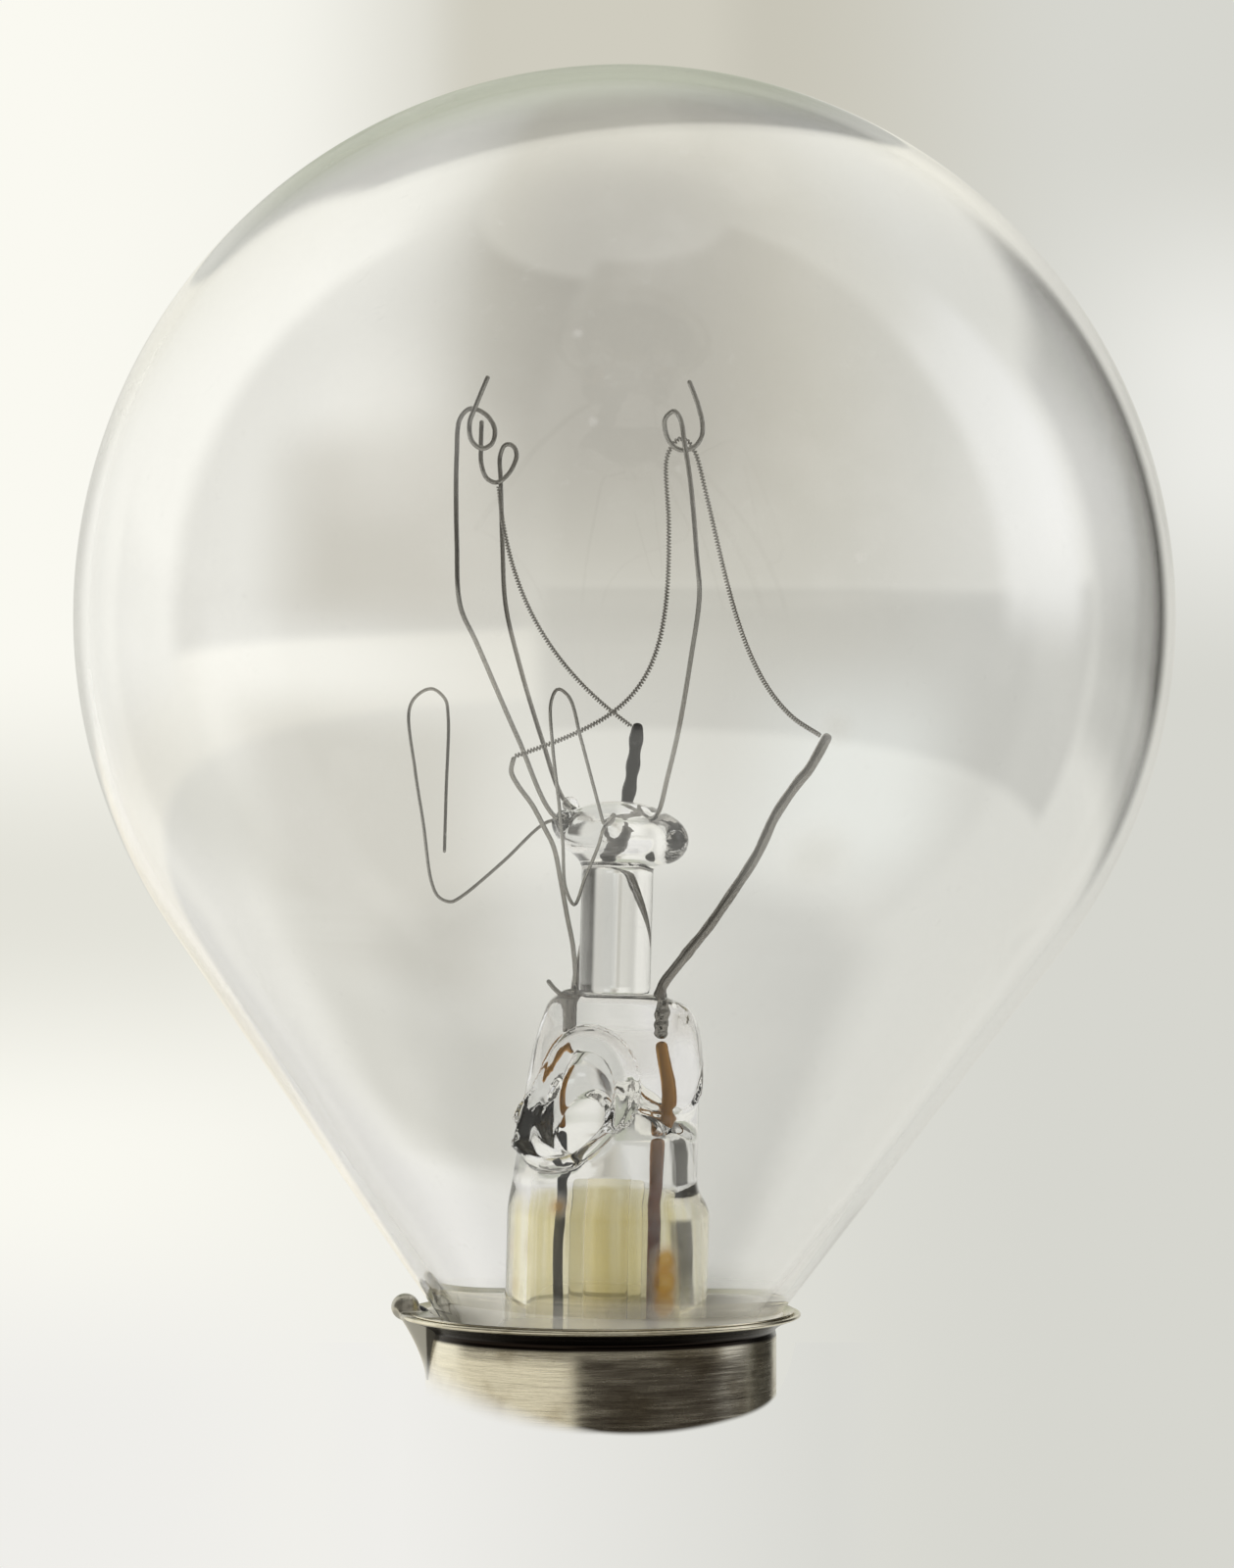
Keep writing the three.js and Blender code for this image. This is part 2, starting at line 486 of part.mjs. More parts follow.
// Cap shell: rolled rim, concave flare, plain skirt, rolled thread and turned-in foot, in one sheet.
// Each profile point is [radius, height, share of the thread's depth].
function shellProfile() {
  const lip = RIM_LIP / 2;
  const flareRadius = RIM_RADIUS - SKIRT_RADIUS - lip;
  const threadSteps = Math.round(THREAD_TURNS * THREAD_STEPS_PER_TURN);
  const thread = Array.from({ length: threadSteps + 1 }, (_, i) => {
    const share = Math.min(1, i / 3, (threadSteps - i) / 3);
    return [THREAD_MEAN_RADIUS, THREAD_TOP - ((THREAD_TOP - THREAD_FOOT) * i) / threadSteps, share];
  });
  const flat = ([radius, height]) => [radius, height, 0];
  const outer = [
    ...arc(RIM_RADIUS - lip, CAP_LENGTH - lip, lip, 90, -60, 3).map(flat),
    [SKIRT_RADIUS + flareRadius * 0.25, SKIRT_TOP + RIM_FLARE * 0.62, 0],
    [SKIRT_RADIUS - 0.06, SKIRT_TOP + RIM_FLARE * 0.3, 0],
    [SKIRT_RADIUS, SKIRT_TOP, 0],
    [SKIRT_RADIUS, SKIRT_FOOT, 0],
    ...thread,
    [THREAD_MEAN_RADIUS - 0.2, THREAD_FOOT - SHELL_FOOT_HEIGHT * 0.5, 0],
    [(THREAD_MEAN_RADIUS + SHELL_MOUTH_RADIUS) / 2 + 0.25, SHELL_FOOT + 0.12, 0],
    [SHELL_MOUTH_RADIUS, SHELL_FOOT, 0],
  ];
  const inner = [
    [SHELL_MOUTH_RADIUS, SHELL_FOOT + SHELL_WALL, 0],
    [(THREAD_MEAN_RADIUS + SHELL_MOUTH_RADIUS) / 2 + 0.05, SHELL_FOOT + SHELL_WALL + 0.1, 0],
    [THREAD_MEAN_RADIUS - 0.2 - SHELL_WALL, THREAD_FOOT - SHELL_FOOT_HEIGHT * 0.4, 0],
    ...thread.map(([radius, height, share]) => [radius - SHELL_WALL, height, share]).reverse(),
    [SKIRT_BORE_RADIUS, SKIRT_FOOT + SHELL_WALL * 0.4, 0],
    [SKIRT_BORE_RADIUS, SKIRT_TOP, 0],
    [SKIRT_BORE_RADIUS, SKIRT_TOP + RIM_FLARE * 0.45, 0],
    [SKIRT_BORE_RADIUS + flareRadius * 0.45, SKIRT_TOP + RIM_FLARE * 0.95, 0],
    [RIM_RADIUS - lip - SHELL_WALL * 0.6, CAP_LENGTH - lip * 0.4, 0],
  ];
  return [...outer, ...inner];
}

function capShell() {
  const rings = shellProfile().map(([radius, height, share]) => Array.from({ length: CAP_SIDES }, (_, j) => {
    const turn = (-2 * Math.PI * j) / CAP_SIDES;
    const phase = (2 * Math.PI * height) / THREAD_PITCH - turn;
    const r = radius + (THREAD_DEPTH / 2) * share * Math.cos(phase);
    return [r * Math.cos(turn), r * Math.sin(turn), height];
  }));
  return skin(rings, true);
}

function capInsulator() {
  const hole = OUTER_LEAD_RADIUS + 0.3;
  const foot = CONTACT_TOP + GAP;
  const seat = SHELL_FOOT + SHELL_WALL + 0.1 + 2 * GAP;
  const plug = SHELL_MOUTH_RADIUS - GAP;
  const head = THREAD_MEAN_RADIUS - THREAD_DEPTH / 2 - SHELL_WALL - 0.5;
  return turned([
    [hole, foot], [CONTACT_RADIUS + 0.35, foot], [CONTACT_RADIUS + 0.9, foot + 0.4], [plug, SHELL_FOOT],
    [plug, seat], [head, seat + 0.2], [head, INSULATOR_TOP], [hole, INSULATOR_TOP], [hole, foot],
  ], CAP_SIDES);
}

function capContact() {
  const hole = OUTER_LEAD_RADIUS + WIRE_GAP + 0.1;
  const foot = SOLDER_DROP_HEIGHT + GAP;
  return turned([
    [hole, foot], [CONTACT_RADIUS - 0.2, foot], [CONTACT_RADIUS, foot + 0.2],
    [CONTACT_RADIUS, CONTACT_TOP], [hole, CONTACT_TOP], [hole, foot],
  ], CAP_SIDES);
}

function contactSolder() {
  const drop = turned([
    [0, 0], [SOLDER_FLAT_RADIUS, 0], [SOLDER_DROP_RADIUS * 0.88, SOLDER_DROP_HEIGHT * 0.4],
    [SOLDER_DROP_RADIUS, SOLDER_DROP_HEIGHT], [0, SOLDER_DROP_HEIGHT],
  ], CAP_SIDES);
  return cut(drop, [channel(RIGHT_OUTER_LEAD, OUTER_LEAD_RADIUS, OUTER_LEAD_STEPS)]);
}

// Side solder: a bead over the rim and the run below it, shaped to the shell that it sits on.
function sideSolder() {
  const beadX = RIM_BEAD[0];
  const bead = new THREE.SphereGeometry(BEAD_RADIUS, 14, 10).translate(beadX - 0.1, 0, RIM_BEAD[2] - 0.05);
  const lowest = CAP_LENGTH - RUN_LENGTH;
  const runRing = (height, halfWidth, depth) => Array.from({ length: 10 }, (_, j) => {
    const turn = (2 * Math.PI * j) / 10;
    const out = SKIRT_RADIUS + depth / 2 + (depth / 2 + 0.1) * Math.cos(turn);
    return [-out, halfWidth * Math.sin(turn), height];
  }).reverse();
  const overhang = RIM_RADIUS - SKIRT_RADIUS;
  const underRim = CAP_LENGTH - RIM_LIP;
  const run = skin([
    runRing(lowest, 0.12, 0.02),
    runRing(lowest + RUN_LENGTH * 0.4, RUN_HALF_WIDTH * 0.45, overhang * 0.4),
    runRing(underRim - RIM_LIP, RUN_HALF_WIDTH * 0.85, overhang * 0.85),
    runRing(underRim, RUN_HALF_WIDTH, overhang + RUN_OVER_RIM),
    runRing(CAP_LENGTH - 0.05, RUN_HALF_WIDTH, overhang + RUN_OVER_RIM),
    runRing(CAP_LENGTH + 0.25, RUN_HALF_WIDTH * 0.6, overhang),
  ]);
  const outside = shellProfile()
    .slice(0, 8)
    .map(([radius, height], i) => [radius + GAP, height + (i < 2 ? GAP : 0)])
    .reverse();
  const shellRoom = turned([[0, SKIRT_FOOT], ...outside, [0, CAP_LENGTH + GAP]], 4 * CAP_SIDES);
  const glassRoom = turned([[0, 0], ...envelopeProfile(-GAP, NECK_RADIUS + GAP)], GLOBE_SIDES)
    .applyMatrix4(lampFrame);
  return cut(geometryOf(solidOf(bead).add(solidOf(run))), [
    shellRoom,
    glassRoom,
    channel(LEFT_OUTER_LEAD, OUTER_LEAD_RADIUS, OUTER_LEAD_STEPS),
  ]);
}

// Cement: fills the room between the neck and the skirt, and follows the askew neck.
function capCement() {
  const foot = NECK_FOOT + 0.4;
  const outer = SKIRT_BORE_RADIUS - GAP;
  const inner = NECK_BORE_RADIUS;
  const ring = turned([
    [inner, foot], [outer, foot], [outer, foot + CEMENT_HEIGHT], [inner, foot + CEMENT_HEIGHT], [inner, foot],
  ], CAP_SIDES);
  const neckRoom = NECK_RADIUS + GAP;
  const neck = turned([[0, 0], [neckRoom, 0], [neckRoom, NECK_DEPTH], [0, NECK_DEPTH]], GLOBE_SIDES)
    .applyMatrix4(lampFrame);
  return cut(ring, [neck, channel(LEFT_OUTER_LEAD, OUTER_LEAD_RADIUS, OUTER_LEAD_STEPS)]);
}

// Materials
const finish = (color, roughness, metalness, opacity = 1) => new THREE.MeshStandardMaterial({
  color, roughness, metalness, opacity, transparent: opacity < 1,
});
const clearGlass = () => finish(0xdfe3dc, 0.04, 0, 0.3);
const stemGlass = () => finish(0xd8d3b4, 0.06, 0, 0.45);
const nickel = () => finish(0x5a5856, 0.35, 1);
const molybdenum = () => finish(0x6e6c68, 0.3, 1);
const tungsten = () => finish(0x4c4b4a, 0.45, 1);
const copperCladWire = () => finish(0x7a4a34, 0.4, 1);
const tinnedWire = () => finish(0x77736b, 0.4, 1);
const tinnedSheet = () => finish(0xa9a390, 0.35, 1);
const softSolder = () => finish(0x8d8a84, 0.4, 1);

function piece(name, geometry, material) {
  const mesh = new THREE.Mesh(geometry, material);
  mesh.name = name;
  return mesh;
}

const inPinch = (route, radius) => wire(raised(route, PINCH_TOP), radius, SEAL_STEPS);
const fromPinch = (route, radius, sides) => wire(raised(route, PINCH_TOP), radius, LEAD_STEPS, sides);
const fromButton = (route, radius) => wire(raised(route, BUTTON_HEIGHT), radius, SUPPORT_STEPS);

// The leaning glass with all that it carries
const lamp = new THREE.Group();
lamp.applyMatrix4(lampFrame);
lamp.add(
  piece('glass_envelope', envelope(), clearGlass()),
  piece('stem_flare', stem(), stemGlass()),
  piece('exhaust_tube', exhaustTube(), stemGlass()),
  piece('arbor_rod', arborRod(), clearGlass()),
  piece('right_inner_lead', fromPinch(RIGHT_INNER_LEAD, INNER_LEAD_RADIUS, LEAD_SIDES), nickel()),
  piece('rear_inner_lead', fromPinch(REAR_INNER_LEAD, INNER_LEAD_RADIUS, LEAD_SIDES), nickel()),
  piece('right_seal_wire', inPinch(RIGHT_SEAL_WIRE, SEAL_WIRE_RADIUS), copperCladWire()),
  piece('left_seal_wire', inPinch(LEFT_SEAL_WIRE, SEAL_WIRE_RADIUS), copperCladWire()),
  piece('middle_support', fromPinch(MIDDLE_SUPPORT, SUPPORT_RADIUS, WIRE_SIDES), molybdenum()),
  piece('support_left_front', fromButton(SUPPORT_LEFT_FRONT, SUPPORT_RADIUS), molybdenum()),
  piece('support_left_rear', fromButton(SUPPORT_LEFT_REAR, SUPPORT_RADIUS), molybdenum()),
  piece('support_right', fromButton(SUPPORT_RIGHT, SUPPORT_RADIUS), molybdenum()),
  piece('hairpin_left', fromButton(HAIRPIN_LEFT, HAIRPIN_RADIUS), molybdenum()),
  piece('hairpin_front', fromButton(HAIRPIN_FRONT, HAIRPIN_RADIUS), molybdenum()),
  piece('filament_right', filamentRight(), tungsten()),
  piece('filament_left', filamentLeft(), tungsten()),
);

// The upright cap with the leads that end in it
const bulb = new THREE.Group();
bulb.add(
  lamp,
  piece('right_outer_lead', wire(RIGHT_OUTER_LEAD, OUTER_LEAD_RADIUS, OUTER_LEAD_STEPS), copperCladWire()),
  piece('left_outer_lead', wire(LEFT_OUTER_LEAD, OUTER_LEAD_RADIUS, OUTER_LEAD_STEPS), tinnedWire()),
  piece('cap_shell', capShell(), tinnedSheet()),
  piece('cap_insulator', capInsulator(), finish(0x17161a, 0.15, 0)),
  piece('cap_contact', capContact(), finish(0xb59a5a, 0.35, 1)),
  piece('contact_solder', contactSolder(), softSolder()),
  piece('side_solder', sideSolder(), softSolder()),
  piece('cap_cement', capCement(), finish(0xb9ad8e, 0.9, 0)),
);

export default bulb;
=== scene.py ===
"""Dresses the dead light bulb: a clear round lamp that leans in its screw cap, its filament burnt through."""
import math
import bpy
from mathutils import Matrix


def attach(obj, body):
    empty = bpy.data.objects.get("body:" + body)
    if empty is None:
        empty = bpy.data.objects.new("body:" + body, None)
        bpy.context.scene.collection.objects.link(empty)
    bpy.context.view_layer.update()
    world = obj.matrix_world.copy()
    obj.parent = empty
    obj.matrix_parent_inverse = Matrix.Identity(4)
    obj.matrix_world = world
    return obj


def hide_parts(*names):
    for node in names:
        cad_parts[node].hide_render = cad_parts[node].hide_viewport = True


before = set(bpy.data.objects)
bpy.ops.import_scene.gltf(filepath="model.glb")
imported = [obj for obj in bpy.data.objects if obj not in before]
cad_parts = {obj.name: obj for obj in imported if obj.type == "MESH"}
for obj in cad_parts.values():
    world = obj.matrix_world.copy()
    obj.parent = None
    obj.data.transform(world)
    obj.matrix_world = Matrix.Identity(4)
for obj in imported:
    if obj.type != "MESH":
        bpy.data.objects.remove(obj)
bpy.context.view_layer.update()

from types import SimpleNamespace

import bmesh
import bpy
import numpy as np
import openvdb
from bpy.props import FloatProperty, FloatVectorProperty, PointerProperty
from bpy.types import Operator, Panel, PropertyGroup

bl_info = {
    "name": "Dead Light Bulb",
    "version": (1, 0, 0),
    "blender": (4, 5, 0),
    "location": "View3D > Sidebar > Bulb",
    "description": "Dresses a burnt-out clear lamp over its packed solids",
    "category": "Object",
}

MM = 0.001

# Step of the samples along a lead in millimetres, and the length of the finer ones at its ends
LEAD_STEP = 0.12
LEAD_END = 0.1

# Places in millimetres, in the leaning lamp's frame unless the name says otherwise
LEAN = math.radians(1.55)
NECK_FOOT = 18.0
GLOBE_CENTRE = 35.75
CONE_FOOT = 6.2
PINCH_TOP = 20.4
BUTTON_HEIGHT = 26.9
EXHAUST_TOP = 13.0
EXHAUST_TIP = -8.0

# Routes of the wires set in the button, from its middle
SUPPORT_LEFT_FRONT = [
    (-1.3, -0.4, 0.3), (-2.6, -1.3, 0.6), (-4.2, -2.6, 3.8), (-5.9, -4.1, 7.5), (-6.6, -4.6, 9),
    (-6.8, -4.7, 11.5), (-6.9, -4.7, 15), (-6.8, -4.7, 16.5), (-6.4, -4.75, 16.9), (-5.8, -4.8, 16.7),
    (-5.4, -4.9, 16.1), (-5.5, -4.95, 15.5), (-5.9, -5, 15.3), (-6.3, -5.1, 15.6), (-6.4, -5.15, 16.3),
    (-6.2, -5.2, 16.9), (-5.7, -5.3, 18.2),
]
SUPPORT_LEFT_REAR = [
    (-1.2, 0.5, 0.5), (-2.3, 1.7, 1.3), (-3.3, 2.8, 3.8), (-4.4, 4.1, 7.1), (-5, 4.7, 9.4),
    (-5.2, 4.9, 11.9), (-5.35, 4.9, 14.7), (-5.4, 4.9, 15.6), (-5.2, 4.85, 16.1), (-4.9, 4.8, 16.1),
    (-4.7, 4.75, 15.7), (-5, 4.6, 14.9), (-5.5, 4.5, 14.5), (-5.9, 4.45, 14.65), (-6.15, 4.4, 15.2),
    (-6.2, 4.4, 16.1), (-6.2, 4.4, 17.1),
]
SUPPORT_RIGHT = [
    (0.1, -0.6, 0.9), (0.8, -1.3, 0.7), (1.35, -2, 0.65), (1.6, -2.6, 0.95), (1.9, -3.6, 2.3),
    (2.3, -4.7, 4.3), (2.7, -5.8, 7.2), (2.95, -6.3, 9.6), (2.8, -6.4, 11.2), (2.5, -6.4, 13.9),
    (2.2, -6.4, 15.6), (2, -6.4, 16.6), (1.75, -6.4, 16.9), (1.4, -6.3, 16.6), (1.4, -6.2, 16.2),
    (1.6, -6.1, 15.7), (2, -6, 15.4), (2.55, -5.9, 15.5), (2.85, -5.85, 15.9), (2.9, -5.8, 16.4),
    (2.7, -5.8, 17.2), (2.3, -5.8, 18.2),
]
HAIRPIN_LEFT = [
    (-1.3, -0.1, 0.4), (-2.7, -0.2, 0.45), (-3.2, -0.2, 0.2), (-4.7, -0.4, -1.3), (-6.4, -0.6, -2.8),
    (-6.8, -0.6, -3), (-7.3, -0.6, -2.8), (-7.6, -0.6, -2.2), (-8, -0.7, 0.2), (-8.4, -0.7, 2.4),
    (-8.7, -0.7, 4.8), (-8.4, -0.7, 5.4), (-7.8, -0.7, 5.7), (-7.25, -0.7, 5.3), (-7.1, -0.7, 4.6),
    (-7.1, -0.7, 1.5), (-7.1, -0.7, -1),
]
HAIRPIN_FRONT = [
    (-0.2, -1, 0.3), (-0.6, -2.6, 0.2), (-0.8, -3.6, -0.5), (-1.3, -5.4, -1.8), (-1.7, -6.9, -2.8),
    (-2.05, -7.4, -2.1), (-2.2, -7.7, -0.3), (-2.4, -7.9, 1.3), (-2.7, -8.1, 3.5), (-2.8, -8.2, 5.2),
    (-2.55, -8.2, 5.7), (-2.1, -8.1, 5.4), (-1.6, -7.8, 3.8), (-1.1, -7.5, 2.1), (-0.6, -7.2, 0.4),
]


def polar(radius, degrees, height):
    """Point at a radius and a turn about the axis, at a height."""
    turn = math.radians(degrees)
    return (radius * math.cos(turn), radius * math.sin(turn), height)


# Routes of the wires set in the pinch, from its top
RIGHT_INNER_LEAD = [
    (1.87, 0, -2), (1.87, 0, -0.1), (1.97, 0, 0.4), (2.6, -0.1, 1.3), (3.6, -0.2, 2.5), (4.6, -0.3, 4),
    (5.7, -0.3, 5.8), (6.4, -0.4, 7.4), (7.3, -0.5, 8.8), (7.7, -0.5, 9.3), (8.5, -0.5, 10.8),
]
REAR_INNER_LEAD = [
    polar(1.77, 158, -2), polar(1.77, 152, 0.3), polar(2.07, 130, 1.6), (-0.8, 3, 3.4), (-0.3, 4.5, 5.4),
    (0.1, 5.4, 6.7), (0.4, 5.9, 8.2), (0.55, 6.2, 9.4), (0.7, 6.5, 11.1),
]
MIDDLE_SUPPORT = [
    (-2.75, -0.9, 0.55), (-2.45, -0.9, 0.2), (-2.05, -0.85, -0.1), polar(1.77, 205, -0.22),
    polar(1.87, 212, 0.4), (-1.7, -1.6, 1.7), (-2, -2.3, 3.1), (-2.3, -3, 4.6), (-2.6, -3.7, 5.9),
    (-3, -4.3, 6.7), (-3.5, -4.9, 7.6), (-4.1, -5.4, 8.4), (-4.35, -5.7, 8.9), (-4.25, -5.9, 9.5),
]
RIGHT_SEAL_WIRE = [(1.87, 0, -2.1), polar(2.1, -14, -3.8), polar(2.1, -28, -5.5)]
LEFT_SEAL_WIRE = [polar(1.77, 158, -2.1), polar(2.1, 185, -3.8), polar(2.1, 200, -5.5)]

# Ridge round the solid glass beside the right lead, in the lamp's frame
EAR_RIDGE = [
    (0.47, -2.9, 16.85), (1.11, -3.15, 16.06), (2.54, -2.6, 15.7), (3.33, -1.65, 16.06), (3.55, -0.8, 17.2),
    (3.4, -0.6, 18.4), (3.2, -0.5, 19.16), (2.49, -1.2, 20.0),
]

# Upper stretches of the leads inside the stem, from the pinch's top, and their ends in the upright cap
RIGHT_STEM_LEAD = [polar(2.1, -28, -5.6), polar(2.1, -28, -8), polar(2.1, -28, -12.5), polar(2.1, -28, -18.4)]
RIGHT_CAP_LEAD = [polar(2.1, -28, 9.98), polar(1.05, -28, 8.03), (0, 0, 6.08), (0, 0, 1.1), (0, 0, 0.25)]
LEFT_STEM_LEAD = [
    polar(2.1, 200, -5.6), polar(2.1, 208, -9.2), polar(2.1, 204, -10.2), polar(2.1, 208, -13.4),
    polar(2.1, 208, -19.2),
]
LEFT_CAP_LEAD = [
    (-3.63, -0.6, 16.9), (-5.61, -0.2, 17), (-6.6, 0, 18.2), (-6.6, 0, 19.6), (-6.6, 0, 23.89),
    (-6.78, 0, 24.65), (-7.1, 0, 25.08), (-7.45, 0, 25.32), (-7.85, 0, 25.35),
]

# Amber stains on the stem, in the part's frame: centre, reach and how dark they are
STEM_STAINS = (
    ((-1.84, -3.8, 30.0), 0.8, 1.2), ((2.6, -3.4, 27.7), 1.0, 1.3), ((2.55, -3.4, 26.9), 1.1, 1.5),
    ((2.5, -3.4, 26.0), 1.0, 1.5), ((-4.0, -1.5, 28.1), 1.0, 0.4), ((-3.6, -1.9, 26.6), 0.8, 0.35),
)

# Milky smears on the globe, in the part's frame: centre, reach and how thick they lie
GLASS_SMEARS = (
    ((-8.4, -19.4, 60.3), 5.0, 0.4), ((8.2, -19.0, 44.1), 2.2, 0.5), ((8.9, -20.5, 49.0), 1.1, 0.6),
    ((-0.8, -20.1, 63.7), 0.3, 0.45), ((-0.2, -21.4, 60.3), 0.3, 0.4), ((9.7, -20.7, 55.3), 0.3, 0.6),
)

# Where a finish begins and where it is full, in the part's frame: heights, except that the dust in the light
# goes by its place across, and the scorch by its depth
SETTLED_DUST = (26.9, 25.0)
LIT_DUST = (-6.5, -3.0)
YELLOWED = (30.6, 29.4)
PALE_COPPER = (30, 35)
SCORCHED = (4.6, 5.2)
# Painted shade: heights between which the hollow below the cap's rim is painted near black
PAINTED_SHADE_FOOT = (24.25, 24.4)
PAINTED_SHADE_TOP = (25.12, 25.02)

# Stage in millimetres: the camera's place and lens, the floor's reach, height and fading edge, and the mist
# before the cap. It hangs near the lens, at this share of the way, so that no other side shows it.
EYE = (0.663, -220, 46.9)
LENS = 123.1
FLOOR_REACH = 100
FLOOR_HEIGHT = -0.02
FLOOR_FADE = (98, 45)
MIST_DEPTH = -9.6
MIST_TOP = 21.4
MIST_MIDDLE = 1.2
MIST_REACH = 10.5
MIST_SHEET = ((-13, 13), (12, 25))
MIST_NEARNESS = 0.08

# Soft lamps: name, place and size in metres, and watts; they face this height
LAMPS = (("Key", (-0.22, -0.32, 0.26), 0.25, 1.1), ("Fill", (0.3, 0.15, 0.25), 0.3, 0.6))
LAMP_AIM = 0.04

# Direction in which the camera sees the globe's crown, and the axis of the dark cap mirrored there
CROWN_SIGHT = (0, 0.993, 0.115)
CROWN_AXIS = (-0.171, 0.531, 0.829)

# Soft-edged panels by direction, in degrees: colour, the side that its turn is counted from, its lowest and
# highest edge, softness round and up, and its turn from edge to edge. The room is mirrored in metal and
# glass, the backdrop is seen straight, and the clouds only through glass.
ROOM_PANELS = (
    ("#cfcdc4", "front", (-60, -18), (5, 8), (-175, -17)),
    ("#fffaea", "front", (-18, -4), (5, 1.5), (-175, -17)),
    ("#6f6c65", "front", (-4, 70), (8, 1.5), (-125, -17)),
    ("#2f2924", "front", (-24, 4.5), (3, 1.5), (-17, 112)),
    ("#a5a299", "front", (4.5, 75), (5, 1.5), (-17, 84)),
    ("#ffffff", "front", (-1, 45), (4, 6), (84, 108)),
    ("#3b3934", "back", (-13, 30), (4, 3.5), (27, 67)),
    ("#fbfaf2", "back", (-8, 60), (5, 5), (-75, -24)),
    ("#45433e", "front", (-120, -54), (5, 6), (-200, 200)),
)
BACKDROP_PANELS = (
    ("#c8c5b8", "back", (1.5, 16), (1.8, 3), (-2.0, 3.4)),
    ("#cfccbf", "back", (5.5, 16), (0.4, 1.5), (-1.75, 1.2)),
    ("#e3e2d9", "back", (-2.6, 0.2), (2, 1.3), (-40, -3)),
    ("#ecece7", "back", (2.2, 5.6), (1.4, 1.4), (5.2, 12)),
    ("#efeeea", "back", (-60, -5.4), (3, 1.4), (-60, -2.2)),
)
CLOUD_PANELS = (
    ("#b6b3a9", "back", (3.0, 9), (1.2, 1.3), (-1.6, 1.6)),
    ("#ebede7", "back", (-1.6, 0.8), (0.9, 0.8), (1.9, 4.2)),
    ("#d8d5ca", "back", (1.75, 4.2), (0.9, 0.5), (-4.4, -1.5)),
    ("#d3d1c7", "back", (-2.6, 0.6), (0.9, 0.5), (-5.2, -1.6)),
    ("#d6d5cc", "back", (-4.8, -2.4), (1.0, 0.7), (-5.2, -0.9)),
)


def linear(hex_colour):
    """sRGB hex colour as linear red, green and blue: the usual power of 2.4 above a short straight foot."""
    shares = np.array([int(hex_colour[i:i + 2], 16) for i in (1, 3, 5)]) / 255
    return tuple(np.where(shares <= 0.04045, shares / 12.92, ((shares + 0.055) / 1.055) ** 2.4))


def length(name, description, millimetres):
    """Length property, given in millimetres and held in metres."""
    return FloatProperty(
        name=name, description=description, default=millimetres * MM, unit="LENGTH", precision=5)


def colour(name, description, hex_colour):
    """Colour property, given as sRGB hex and held as linear values."""
    return FloatVectorProperty(
        name=name, description=description, default=linear(hex_colour), size=3, subtype="COLOR", min=0, max=1)


class BulbGlassSizes(PropertyGroup):
    """Sizes of the blown globe, the stem and the rod."""
    globe_radius: length("Globe radius", "Outside radius of the round glass", 22.5)
    globe_wall: length("Globe wall", "Thickness of the blown glass", 0.6)
    neck_radius: length("Neck radius", "Outside radius of the neck in the cap", 6.3)
    neck_wall: length("Neck wall", "Thickness of the glass in the neck", 0.8)
    stem_radius: length("Stem radius", "Outside radius of the stem's tube", 4.15)
    stem_wall: length("Stem wall", "Thickness of the stem's tube", 0.85)
    exhaust_radius: length("Exhaust radius", "Outside radius of the tube inside the stem", 1.5)
    exhaust_bore: length("Exhaust bore", "Inside radius of the tube inside the stem", 0.9)
    rod_radius: length("Rod radius", "Radius of the glass rod", 1.47)
    button_radius: length("Button radius", "Radius of the rod's melted end", 2.6)
    button_rise: length("Button half height", "Half height of the rod's melted end", 1.3)


class BulbWireSizes(PropertyGroup):
    """Radii of the wires and of the coiled filament."""
    inner_lead: length("Inner lead", "Radius of the nickel leads", 0.215)
    right_seal: length("Right seal wire", "Radius of the right copper-clad wire in the pinch", 0.23)
    left_seal: length("Left seal wire", "Radius of the left copper-clad wire in the pinch", 0.15)
    right_outer: length("Right outer lead", "Radius of the copper-clad lead in the stem", 0.25)
    left_outer: length("Left outer lead", "Radius of the tinned lead in the stem", 0.2)
    support: length("Support", "Radius of the tall supports", 0.1)
    hairpin: length("Hairpin", "Radius of the low bent supports", 0.07)
    coil: length("Coil", "Radius of the filament's coil to its wire's middle", 0.075)
    coil_wire: length("Coil wire", "Radius of the wire that is coiled", 0.035)
    coil_pitch: length("Coil pitch", "Length of one turn of the coil", 0.13)


class BulbCapSizes(PropertyGroup):
    """Sizes of the screw cap."""
    height: length("Cap height", "Height of the rim above the solder drop", 25.25)
    rim_radius: length("Rim radius", "Radius of the rolled rim", 8.2)
    rim_lip: length("Rim lip", "Thickness of the rolled rim", 0.17)
    rim_flare: length("Rim flare", "Height of the hollow below the rim", 0.78)
    skirt_radius: length("Skirt radius", "Radius of the plain skirt", 7.2)
    skirt_height: length("Skirt height", "Height of the plain skirt", 7.31)
    sheet: length("Sheet", "Thickness of the cap's sheet", 0.3)
    thread_crest: length("Thread crest", "Outside radius of the thread", 6.945)
    thread_depth: length("Thread depth", "Depth of the rolled thread", 0.8)
    thread_pitch: length("Thread pitch", "Rise of the thread in one turn", 2.822)
    thread_height: length("Thread height", "Height of the threaded part", 11)
    mouth_radius: length("Mouth radius", "Radius of the opening at the cap's foot", 4.9)
    contact_radius: length("Contact radius", "Radius of the contact plate", 2.4)
    drop_radius: length("Drop radius", "Radius of the solder drop", 1.5)


